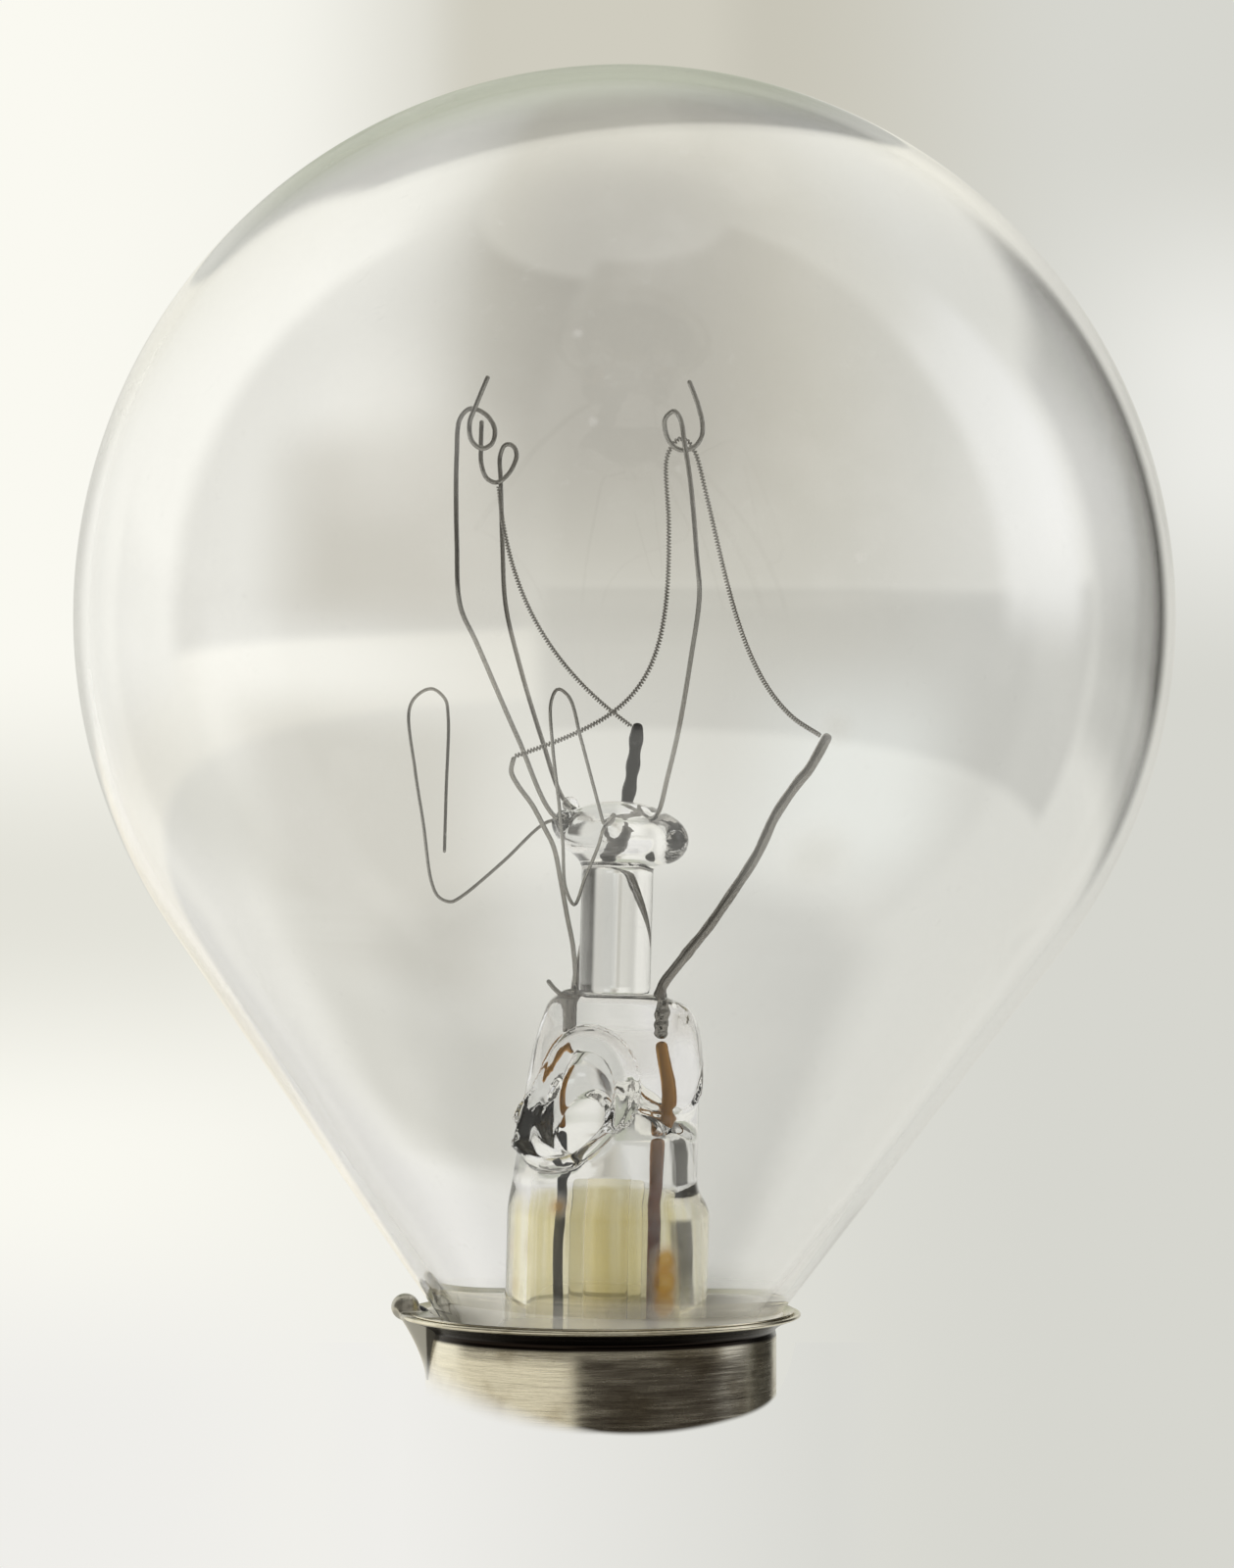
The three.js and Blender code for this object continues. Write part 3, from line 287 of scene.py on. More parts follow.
class BulbColours(PropertyGroup):
    """Colours of the glass, the wires and the cap."""
    glass: colour("Glass", "Tint of the clear glass", "#ffffff")
    dust: colour("Dust", "Dust and smears on the globe", "#f1eee2")
    stem: colour("Stem glass", "Yellowed glass of the stem near the cap", "#fbf4d0")
    film: colour("Film", "Yellow film in the tube inside the stem", "#faf7ea")
    stain: colour("Stain", "Amber stains on the stem", "#c4902c")
    nickel: colour("Nickel", "Dull nickel of the inner leads", "#918e89")
    scorch: colour("Scorch", "Burnt end of the rear lead", "#1c1a19")
    support: colour("Support wire", "Drawn grey wire of the supports", "#9b9994")
    tungsten: colour("Tungsten", "Grey of the burnt filament", "#9d9a95")
    copper: colour("Copper", "Oxidised copper cladding", "#5c2e20")
    gilt: colour("Pale copper", "Copper cladding in the pinch", "#b98a4e")
    tinned: colour("Tinned wire", "Dull tinned copper", "#5e6064")
    sheet: colour("Cap sheet", "Plated sheet of the cap", "#f3edda")
    tarnish: colour("Tarnish", "Brown tarnish on the cap", "#b3a68a")
    # Painted shade: the near-black put in the hollow below the rim, where shade falls
    painted_hollow_shade: colour("Painted shade", "Shade painted in the hollow below the rim", "#211b17")
    solder: colour("Solder", "Dull solder", "#bbb8af")
    brass: colour("Brass", "Contact plate", "#b59a5a")
    black_glass: colour("Black glass", "Insulator in the cap's foot", "#17161a")
    cement: colour("Cement", "Baked cement in the cap", "#efece0")
    paper: colour("Paper", "Pale floor", "#eceae4")


def in_mm(group):
    """A group's lengths in millimetres, under their own names."""
    return SimpleNamespace(**{name: getattr(group, name) / MM for name in group.__annotations__})


# Points, paths and skins


def leaned(points):
    """Lamp points in the part's frame: turned by the lean about Y, then raised to the neck's foot."""
    turn = np.array([
        [math.cos(LEAN), 0, math.sin(LEAN)],
        [0, 1, 0],
        [-math.sin(LEAN), 0, math.cos(LEAN)],
    ])
    return np.asarray(points, float) @ turn.T + (0, 0, NECK_FOOT)


def raised(points, height):
    """Points moved up by a height."""
    return np.asarray(points, float) + (0, 0, height)


def through(points, spacing, ends=0.0):
    """Smooth path through points, evenly sampled: on each stretch a cubic whose end slopes come from the
    neighbours' distances to the power of a half, with closer samples over the last stretch of length ends."""
    points = np.asarray(points, float)
    guide = np.vstack([2 * points[0] - points[1], points, 2 * points[-1] - points[-2]])
    step = np.linalg.norm(np.diff(guide, axis=0), axis=1)[:, None] ** 0.5
    before, start, end, after = guide[:-3], guide[1:-2], guide[2:-1], guide[3:]
    s0, s1, s2 = step[:-2], step[1:-1], step[2:]
    slope_in = s1 * ((start - before) / s0 - (end - before) / (s0 + s1) + (end - start) / s1)
    slope_out = s1 * ((end - start) / s1 - (after - start) / (s1 + s2) + (after - end) / s2)
    t = np.linspace(0, 1, 40, endpoint=False)[None, :, None]
    fine = (
        (2 * t**3 - 3 * t**2 + 1) * start[:, None] + (t**3 - 2 * t**2 + t) * slope_in[:, None]
        + (3 * t**2 - 2 * t**3) * end[:, None] + (t**3 - t**2) * slope_out[:, None]
    )
    return resampled(np.vstack([fine.reshape(-1, 3), points[-1:]]), spacing, ends)


def resampled(path, spacing, ends=0.0):
    """The same path with even steps of about the spacing, and finer ones within ends of both its ends."""
    along = np.r_[0, np.cumsum(np.linalg.norm(np.diff(path, axis=0), axis=1))]
    total = along[-1]
    places = np.linspace(0, total, max(3, round(total / spacing)))
    if ends:
        close = ends * (1 - np.cos(np.linspace(0, math.pi / 2, 5)))
        middle = places[(places > ends) & (places < total - ends)]
        places = np.concatenate([close, middle, total - close[::-1]])
    return np.stack([np.interp(places, along, path[:, k]) for k in range(3)], axis=1)


def leg(start, start_handle, end, end_handle, count):
    """Hanging stretch of filament: a cubic from start to end, pulled by a handle at each."""
    t = np.linspace(0, 1, count)[:, None]
    a, d = np.asarray(start, float), np.asarray(end, float)
    b, c = a + start_handle, d + end_handle
    return (1 - t)**3 * a + 3 * t * (1 - t)**2 * b + 3 * t**2 * (1 - t) * c + t**3 * d


def unit(vectors):
    """Vectors brought to length one."""
    return vectors / np.maximum(np.linalg.norm(vectors, axis=-1, keepdims=True), 1e-12)


def cross_axes(path):
    """Two directions across a path at each point: one in the path's own best plane, one square to it."""
    tangent = unit(np.gradient(path, axis=0))
    plane_normal = np.linalg.svd(path - path.mean(axis=0), full_matrices=False)[2][2]
    side = unit(np.cross(tangent, plane_normal))
    return side, np.cross(tangent, side)


def piece(name, points, faces, uv, material, nodes):
    """Mesh over points in millimetres that stands for its nodes: welded where points meet, facing out."""
    corners = points[faces]
    fan = np.cross(corners[:, 1], corners[:, 2]) + np.cross(corners[:, 2], corners[:, 3])
    if np.einsum("ij,ij->", corners[:, 0], fan) < 0:
        faces = faces[:, ::-1]
        uv = uv[:, ::-1] if uv is not None else None
    mesh = bpy.data.meshes.new(name)
    mesh.from_pydata((points * MM).tolist(), [], faces.tolist())
    if uv is not None:
        mesh.uv_layers.new(name="Millimetres").data.foreach_set("uv", uv.astype(np.float32).ravel())
    shape = bmesh.new()
    shape.from_mesh(mesh)
    bmesh.ops.remove_doubles(shape, verts=shape.verts, dist=1e-8)
    shape.to_mesh(mesh)
    shape.free()
    mesh.polygons.foreach_set("use_smooth", np.ones(len(mesh.polygons), bool))
    mesh.materials.append(material)
    made = bpy.data.objects.new(name, mesh)
    bpy.context.scene.collection.objects.link(made)
    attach(made, "root")
    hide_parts(*nodes)
    return made


def skin(name, grid, girth, material, nodes, closed=False):
    """Surface over rows of points that each close round; the rows end in poles, or close on themselves.
    Its UV map is in millimetres: round the row by its girth, and along from row to row."""
    rows, columns = grid.shape[:2]
    i, j = np.mgrid[0:rows if closed else rows - 1, 0:columns]
    corner = [(i, j), (i + 1, j), (i + 1, j + 1), (i, j + 1)]
    faces = np.stack([(a % rows) * columns + b % columns for a, b in corner], axis=-1).reshape(-1, 4)
    steps = np.linalg.norm(np.diff(grid, axis=0), axis=2).mean(axis=1)
    along = np.r_[0, np.cumsum(steps), steps.sum() + steps.mean()]
    uv = np.stack([np.stack([b * girth / columns, along[a]], axis=-1) for a, b in corner], axis=2)
    return piece(name, grid.reshape(-1, 3), faces, uv.reshape(-1, 4, 2), material, nodes)


def turned(name, profile, sides, material, nodes, frame_of=None):
    """Turned piece: a closed profile of radius and height, carried round the axis."""
    turn = np.linspace(0, 2 * math.pi, sides, endpoint=False)
    radius, height = np.asarray(profile, float).T
    grid = np.stack([
        radius[:, None] * np.cos(turn), radius[:, None] * np.sin(turn),
        np.broadcast_to(height[:, None], (len(height), sides)),
    ], axis=-1)
    grid = frame_of(grid) if frame_of else grid
    return skin(name, grid, 2 * math.pi * radius.max(), material, nodes, closed=True)


def wire(name, path, radius, material, nodes, sides=12, axes=None):
    """Round wire: a circle of the radius carried along the path, drawn in to a rounded end at both ends."""
    side, up = axes or cross_axes(path)
    along = np.r_[0, np.cumsum(np.linalg.norm(np.diff(path, axis=0), axis=1))]
    radius = np.broadcast_to(radius, along.shape)
    from_end = np.minimum(along, along[-1] - along)
    drawn = radius * np.sqrt(1 - np.clip(1 - from_end / radius, 0, 1)**2)
    turn = np.linspace(0, 2 * math.pi, sides, endpoint=False)[None, :, None]
    ring = np.cos(turn) * side[:, None] + np.sin(turn) * up[:, None]
    grid = path[:, None] + drawn[:, None, None] * ring
    return skin(name, grid, 2 * math.pi * radius.mean(), material, nodes)


def arc(centre, radius, start_deg, end_deg, count):
    """Points of radius and height on an arc, from one angle to another."""
    turn = np.radians(np.linspace(start_deg, end_deg, count))
    return np.stack([centre[0] + radius * np.cos(turn), centre[1] + radius * np.sin(turn)], axis=1)


# Melted glass: fields of the distance to a surface, negative inside, joined softly and skinned at zero


def meld(first, second, softness):
    """Soft union of two fields: their lesser, rounded where they come within the softness of each other."""
    share = np.clip(0.5 + 0.5 * (second - first) / softness, 0, 1)
    return second + (first - second) * share - softness * share * (1 - share)


def blob(space, centre, radii):
    """Field of a lengthened ball: distance in units of its radii, less one, times its least radius."""
    scaled = sum(((axis - c) / r)**2 for axis, c, r in zip(space, centre, radii))
    return (np.sqrt(scaled) - 1) * min(radii)


def strand(space, path, radius):
    """Field of a melted strand: the distance to the nearest point of its path, less the radius there."""
    nearest = np.full(space[0].shape, 1e3, np.float32)
    for point, thickness in zip(path, np.broadcast_to(radius, len(path))):
        squared = sum((axis - c)**2 for axis, c in zip(space, point))
        nearest = np.minimum(nearest, np.sqrt(squared) - thickness)
    return nearest


def oval_post(space, stations, smooth_steps):
    """Field of an upright post with oval sections, on which the shares of the half width and half depth, each
    to a power, add up to one. Each station gives height, half width, half depth, shift and power, which are
    evened out over a few steps of the grid."""
    heights = space[2][0, 0]
    kernel = np.ones(smooth_steps) / smooth_steps
    padded = np.pad(heights, smooth_steps // 2, mode="reflect", reflect_type="odd")
    width, depth, shift, power = (
        np.convolve(np.interp(padded, stations[:, 0], stations[:, k]), kernel, mode="valid")[:len(heights)]
        for k in (1, 2, 3, 4)
    )
    out = (np.abs((space[0] - shift) / width)**power + np.abs(space[1] / depth)**power)**(1 / power)
    return (out - 1) * np.minimum(width, depth)


def melted(name, field, low, high, cell, material, nodes, frame_of=None):
    """Melted piece: the zero surface of a field over a box, on a grid of cells."""
    axes = [np.arange(a, b, cell, dtype=np.float32) for a, b in zip(low, high)]
    space = np.meshgrid(*axes, indexing="ij")
    grid = openvdb.FloatGrid(1.0)
    grid.copyFromArray(np.ascontiguousarray(field(space), dtype=np.float32))
    points, faces = grid.convertToQuads(0.0)
    placed = points.astype(float) * cell + np.array(low)
    placed = frame_of(placed) if frame_of else placed
    return piece(name, placed, faces.astype(int), None, material, nodes)


# Materials


def node(tree, kind, inputs=None, **settings):
    """Adds a node: its own settings, and its inputs as plain values or as nodes and sockets to link."""
    made = tree.nodes.new(kind)
    for key, value in settings.items():
        setattr(made, key, value)
    for key, value in (inputs or {}).items():
        if isinstance(value, bpy.types.Node):
            value = value.outputs[0]
        if isinstance(value, bpy.types.NodeSocket):
            tree.links.new(value, made.inputs[key])
        else:
            made.inputs[key].default_value = value
    return made


def finish(name, sockets):
    """New material with one shader, whose sockets are given by name; returns it with its tree and shader."""
    made = bpy.data.materials.get(name) or bpy.data.materials.new(name)
    made.use_nodes = True
    tree = made.node_tree
    tree.nodes.clear()
    shader = node(tree, "ShaderNodeBsdfPrincipled", sockets)
    node(tree, "ShaderNodeOutputMaterial", {"Surface": shader})
    return made, tree, shader


def rgba(colour_values):
    """Linear colour with full alpha, as node sockets take it."""
    return (*colour_values, 1.0)


def per_mm(millimetres):
    """Noise scale whose features are about this size, on coordinates in metres."""
    return 1 / (millimetres * MM)


def near(tree, place, centre, reach):
    """One at a centre, falling softly to nothing at the reach, both in millimetres."""
    away = node(tree, "ShaderNodeVectorMath", {
        0: place, 1: tuple(c * MM for c in centre)}, operation="DISTANCE").outputs["Value"]
    return node(tree, "ShaderNodeMapRange", {
        "Value": away, "From Min": reach * MM, "From Max": 0.0}, interpolation_type="SMOOTHSTEP")


def blown_clear_glass(colours, outside_length):
    """Clear soda-lime glass, blown: bright, thin and nearly colourless, with dust that lies thickest above
    the cap's rim, milky smears, and a clear gloss on its outside, the first stretch of the UV map."""
    made, tree, shader = finish("blown_clear_glass", {
        "Roughness": 0.0, "IOR": 1.32, "Coat Roughness": 0.0, "Coat IOR": 2.0,
    })
    coords = node(tree, "ShaderNodeTexCoord")
    place = coords.outputs["Object"]
    along = node(tree, "ShaderNodeSeparateXYZ", {0: coords.outputs["UV"]}).outputs[1]
    outside = node(tree, "ShaderNodeMath", {0: along, 1: outside_length}, operation="LESS_THAN")
    within = node(tree, "ShaderNodeNewGeometry").outputs["Backfacing"]
    gloss = node(tree, "ShaderNodeMath", {0: outside, 1: within}, operation="SUBTRACT", use_clamp=True)
    smear = node(tree, "ShaderNodeTexNoise", {
        "Vector": place, "Scale": per_mm(9), "Detail": 4, "Roughness": 0.6})
    grit = node(tree, "ShaderNodeTexNoise", {"Vector": place, "Scale": per_mm(0.6), "Detail": 2})
    patches = node(tree, "ShaderNodeMapRange", {
        "Value": smear, "From Min": 0.52, "From Max": 0.72, "To Max": 0.05}, interpolation_type="SMOOTHSTEP")
    specks = node(tree, "ShaderNodeMapRange", {
        "Value": grit, "From Min": 0.66, "From Max": 0.8, "To Max": 0.05}, interpolation_type="SMOOTHSTEP")
    haze = node(tree, "ShaderNodeMath", {0: patches, 1: specks}, operation="ADD")
    for centre, reach, thick in GLASS_SMEARS:
        spot = node(tree, "ShaderNodeMath", {
            0: near(tree, place, centre, reach), 1: smear}, operation="MULTIPLY")
        haze = node(tree, "ShaderNodeMath", {0: spot, 1: thick, 2: haze}, operation="MULTIPLY_ADD")
    axes = node(tree, "ShaderNodeSeparateXYZ", {0: place}).outputs
    settled = node(tree, "ShaderNodeMapRange", {
        "Value": axes[2], "From Min": SETTLED_DUST[0] * MM, "From Max": SETTLED_DUST[1] * MM, "To Max": 0.42,
    }, interpolation_type="SMOOTHSTEP")
    lit_side = node(tree, "ShaderNodeMapRange", {
        "Value": axes[0], "From Min": LIT_DUST[0] * MM, "From Max": LIT_DUST[1] * MM,
    }, interpolation_type="SMOOTHSTEP")
    dusty = node(tree, "ShaderNodeMath", {0: settled, 1: lit_side}, operation="MULTIPLY")
    haze = node(tree, "ShaderNodeMath", {0: dusty, 1: outside, 2: haze}, operation="MULTIPLY_ADD")
    clear = node(tree, "ShaderNodeMath", {0: 1.0, 1: haze}, operation="SUBTRACT", use_clamp=True)
    tint = node(tree, "ShaderNodeMix", {
        0: haze, 6: rgba(colours.glass), 7: rgba(colours.dust)}, data_type="RGBA")
    wave = node(tree, "ShaderNodeTexNoise", {"Vector": place, "Scale": per_mm(13), "Detail": 1})
    uneven = node(tree, "ShaderNodeBump", {"Height": wave, "Strength": 1.0, "Distance": 0.05 * MM})
    for output, socket in (
        (clear.outputs[0], "Transmission Weight"), (tint.outputs[2], "Base Color"),
        (gloss.outputs[0], "Coat Weight"), (uneven.outputs[0], "Normal"), (uneven.outputs[0], "Coat Normal"),
    ):
        tree.links.new(output, shader.inputs[socket])
    return made


def melted_stem_glass(colours):
    """Clear lead glass, drawn and melted: colourless in the pinch, filmed pale yellow and streaked upright
    near the cap, thickest at the back, with a few amber stains."""
    made, tree, shader = finish("melted_stem_glass", {"Roughness": 0.0, "IOR": 1.45})
    place = node(tree, "ShaderNodeTexCoord").outputs["Object"]
    axes = node(tree, "ShaderNodeSeparateXYZ", {0: place})
    drawn = node(tree, "ShaderNodeMapping", {"Vector": place, "Scale": (1, 1, 0.05)})
    streak = node(tree, "ShaderNodeTexNoise", {"Vector": drawn, "Scale": per_mm(0.7), "Detail": 2})
    streaked = node(tree, "ShaderNodeMapRange", {
        "Value": streak, "From Min": 0.35, "From Max": 0.65, "To Min": 0.35}, interpolation_type="SMOOTHSTEP")
    low = node(tree, "ShaderNodeMapRange", {
        "Value": axes.outputs[2], "From Min": YELLOWED[0] * MM, "From Max": YELLOWED[1] * MM,
    }, interpolation_type="SMOOTHSTEP")
    yellowed = node(tree, "ShaderNodeMath", {0: low, 1: streaked}, operation="MULTIPLY")
    tint = node(tree, "ShaderNodeMix", {
        0: yellowed, 6: rgba(colours.glass), 7: rgba(colours.stem)}, data_type="RGBA").outputs[2]
    thick = node(tree, "ShaderNodeMapRange", {
        "Value": axes.outputs[1], "From Min": -1 * MM, "From Max": 2 * MM, "To Max": 0.14})
    veil = node(tree, "ShaderNodeMath", {0: yellowed, 1: thick}, operation="MULTIPLY")
    for centre, reach, dark in STEM_STAINS:
        spot = node(tree, "ShaderNodeMath", {
            0: near(tree, place, centre, reach), 1: dark}, operation="MULTIPLY", use_clamp=True)
        tint = node(tree, "ShaderNodeMix", {
            0: spot, 6: tint, 7: rgba(colours.stain)}, data_type="RGBA").outputs[2]
        veil = node(tree, "ShaderNodeMath", {0: spot, 1: 0.5, 2: veil}, operation="MULTIPLY_ADD")
    clear = node(tree, "ShaderNodeMath", {0: 1.0, 1: veil}, operation="SUBTRACT", use_clamp=True)
    tree.links.new(tint, shader.inputs["Base Color"])
    tree.links.new(clear.outputs[0], shader.inputs["Transmission Weight"])
    return made


def drawn_tube_glass(colours):
    """Thin clear tube inside the thicker stem, filmed faintly yellow: it hardly bends what is behind it."""
    return finish("drawn_tube_glass", {
        "Base Color": rgba(colours.film), "Roughness": 0.0, "IOR": 1.03, "Transmission Weight": 1.0})[0]


def drawn_glass_rod(colours):
    """Clear glass rod, drawn and melted at its end: colourless and bright."""
    return finish("drawn_glass_rod", {
        "Base Color": rgba(colours.glass), "Roughness": 0.0, "IOR": 1.5, "Transmission Weight": 1.0})[0]


def drawn_nickel(colours):
    """Nickel wire, drawn: dark grey with sharp bright lines, scorched black at the rear lead's end."""
    made, tree, shader = finish("drawn_nickel", {"Metallic": 1.0, "Roughness": 0.15})
    place = node(tree, "ShaderNodeTexCoord").outputs["Object"]
    axes = node(tree, "ShaderNodeSeparateXYZ", {0: place})
    behind = node(tree, "ShaderNodeMapRange", {
        "Value": axes.outputs[1], "From Min": SCORCHED[0] * MM, "From Max": SCORCHED[1] * MM})
    scorched = node(tree, "ShaderNodeMix", {
        0: behind, 6: rgba(colours.nickel), 7: rgba(colours.scorch)}, data_type="RGBA")
    tree.links.new(scorched.outputs[2], shader.inputs["Base Color"])
    return made


def copper_cladding(colours):
    """Copper-clad wire, oxidised in the seal: pale gilt in the pinch, red-brown and dark further down."""
    made, tree, shader = finish("copper_cladding", {"Metallic": 1.0, "Roughness": 0.3})
    place = node(tree, "ShaderNodeTexCoord").outputs["Object"]
    height = node(tree, "ShaderNodeSeparateXYZ", {0: place}).outputs[2]
    upper = node(tree, "ShaderNodeMapRange", {
        "Value": height, "From Min": PALE_COPPER[0] * MM, "From Max": PALE_COPPER[1] * MM})
    tint = node(tree, "ShaderNodeMix", {
        0: upper, 6: rgba(colours.copper), 7: rgba(colours.gilt)}, data_type="RGBA")
    tree.links.new(tint.outputs[2], shader.inputs["Base Color"])
    return made


def plain_metal(name, metal, roughness):
    """Drawn, coiled, stamped, tinned or set metal of one even tone; a smoother one shows brighter lines."""
    return finish(name, {"Base Color": rgba(metal), "Metallic": 1.0, "Roughness": roughness})[0]


def tarnished_plated_sheet(colours):
    """Plated sheet, spun and brushed round: a warm grey with streaks along the brushing, brown tarnish in
    blotches, and painted black shade in the hollow below the rim."""
    made, tree, shader = finish("tarnished_plated_sheet", {"Metallic": 1.0})
    coords = node(tree, "ShaderNodeTexCoord")
    brushed = node(tree, "ShaderNodeMapping", {"Vector": coords.outputs["UV"], "Scale": (0.05, 1, 1)})
    streak = node(tree, "ShaderNodeTexNoise", {
        "Vector": brushed, "Scale": 1 / 0.16, "Detail": 4, "Roughness": 0.7})
    place = coords.outputs["Object"]
    blotch = node(tree, "ShaderNodeTexNoise", {"Vector": place, "Scale": per_mm(2.2), "Detail": 5})
    height = node(tree, "ShaderNodeSeparateXYZ", {0: place}).outputs[2]
    worn = node(tree, "ShaderNodeMapRange", {
        "Value": blotch, "From Min": 0.42, "From Max": 0.7, "To Max": 0.7}, interpolation_type="SMOOTHSTEP")
    tint = node(tree, "ShaderNodeMix", {
        0: worn, 6: rgba(colours.sheet), 7: rgba(colours.tarnish)}, data_type="RGBA")
    lines = node(tree, "ShaderNodeMapRange", {
        "Value": streak, "From Min": 0.3, "From Max": 0.7, "To Min": 0.75, "To Max": 1.1})
    lined = node(tree, "ShaderNodeVectorMath", {0: tint.outputs[2], 3: lines}, operation="SCALE")
    # Painted shade: the hollow below the rim is painted near black, for the shade that falls in it
    hollow_low = node(tree, "ShaderNodeMapRange", {
        "Value": height, "From Min": PAINTED_SHADE_FOOT[0] * MM, "From Max": PAINTED_SHADE_FOOT[1] * MM,
    }, interpolation_type="SMOOTHSTEP")
    hollow_high = node(tree, "ShaderNodeMapRange", {
        "Value": height, "From Min": PAINTED_SHADE_TOP[0] * MM, "From Max": PAINTED_SHADE_TOP[1] * MM,
    }, interpolation_type="SMOOTHSTEP")
    hollow = node(tree, "ShaderNodeMath", {0: hollow_low, 1: hollow_high}, operation="MULTIPLY")
    with_painted_shade = node(tree, "ShaderNodeMix", {0: hollow, 6: lined, 7: rgba(colours.painted_hollow_shade)}, data_type="RGBA")
    rough = node(tree, "ShaderNodeMapRange", {
        "Value": streak, "From Min": 0.3, "From Max": 0.7, "To Min": 0.16, "To Max": 0.3})
    bump = node(tree, "ShaderNodeBump", {"Height": streak, "Strength": 0.12, "Distance": 0.05 * MM})
    tree.links.new(with_painted_shade.outputs[2], shader.inputs["Base Color"])
    tree.links.new(rough.outputs[0], shader.inputs["Roughness"])
    tree.links.new(bump.outputs[0], shader.inputs["Normal"])
    return made


def moulded_black_glass(colours):
    """Black glass, moulded into the cap's foot: dark with a clear gloss."""
    return finish("moulded_black_glass", {"Base Color": rgba(colours.black_glass), "Roughness": 0.12})[0]


def baked_cement(colours):
    """Resin cement, baked: dry, dull and pale."""
    return finish("baked_cement", {"Base Color": rgba(colours.cement), "Roughness": 0.85})[0]


# Pieces


def globe_profile(sizes):
    """Blown glass in section: neck, eased bend, straight cone on the globe's tangent, and the globe's arc.
    The inside is the same line moved in square to itself by the wall."""
    rise = GLOBE_CENTRE - CONE_FOOT
    reach = math.hypot(rise, sizes.neck_radius)
    tangent_deg = math.degrees(math.acos(sizes.globe_radius / reach) - math.atan2(rise, sizes.neck_radius))
    globe = arc((0, GLOBE_CENTRE), sizes.globe_radius, tangent_deg, 90, 110)
    foot, bend_reach = np.array([sizes.neck_radius, CONE_FOOT]), 1.2
    up_cone = unit(globe[0] - foot)
    t = np.linspace(0, 1, 10)[:, None]
    below, above = foot - (0, bend_reach), foot + bend_reach * up_cone
    bend = (1 - t)**2 * below + 2 * t * (1 - t) * foot + t**2 * above
    neck = np.linspace((sizes.neck_radius, 0), bend[0], 8, endpoint=False)
    cone = np.linspace(bend[-1], globe[0], 30)[1:-1]
    outer = np.vstack([neck, bend, cone, globe])
    outer[-1, 0] = 0
    slope = unit(np.gradient(outer, axis=0))
    slope[-1] = (-1, 0)
    wall = np.interp(outer[:, 1], (CONE_FOOT - 1, CONE_FOOT + 6), (sizes.neck_wall, sizes.globe_wall))
    inner = outer + wall[:, None] * np.stack([-slope[:, 1], slope[:, 0]], axis=1)
    inner[-1, 0] = 0
    return np.vstack([outer, inner[::-1]])


class BULB_OT_envelope(Operator):
    """Blows the clear globe with its cone and neck"""
    bl_idname = "bulb.envelope"
    bl_label = "Glass envelope"

    def execute(self, context):
        sizes = in_mm(context.scene.bulb_glass)
        profile = globe_profile(sizes)
        outer = profile[:len(profile) // 2]
        outside_length = np.linalg.norm(np.diff(outer, axis=0), axis=1).sum()
        glass = blown_clear_glass(context.scene.bulb_colours, outside_length)
        globe = turned("blown_globe", profile, 192, glass, ["glass_envelope"], leaned)
        # The lamps' light passes the clear glass
        globe.visible_shadow = False
        return {"FINISHED"}


def hole_lip():
    """Path of the thick curled lip round the blown hole, closed on itself."""
    points = np.array([
        (-3.75, -1.7, 14.3), (-2.9, -2.9, 13.6), (-1.6, -3.7, 13.75), (-0.4, -3.9, 14.7), (0.45, -3.5, 16.0),
        (0.5, -3.0, 17.3), (-0.1, -2.7, 18.3), (-1.0, -2.5, 18.65), (-1.8, -2.4, 18.3), (-2.2, -2.3, 17.5),
        (-2.6, -2.2, 16.6), (-3.3, -1.8, 15.6),
    ])
    return through(np.vstack([points, points[:1]]), 0.2)


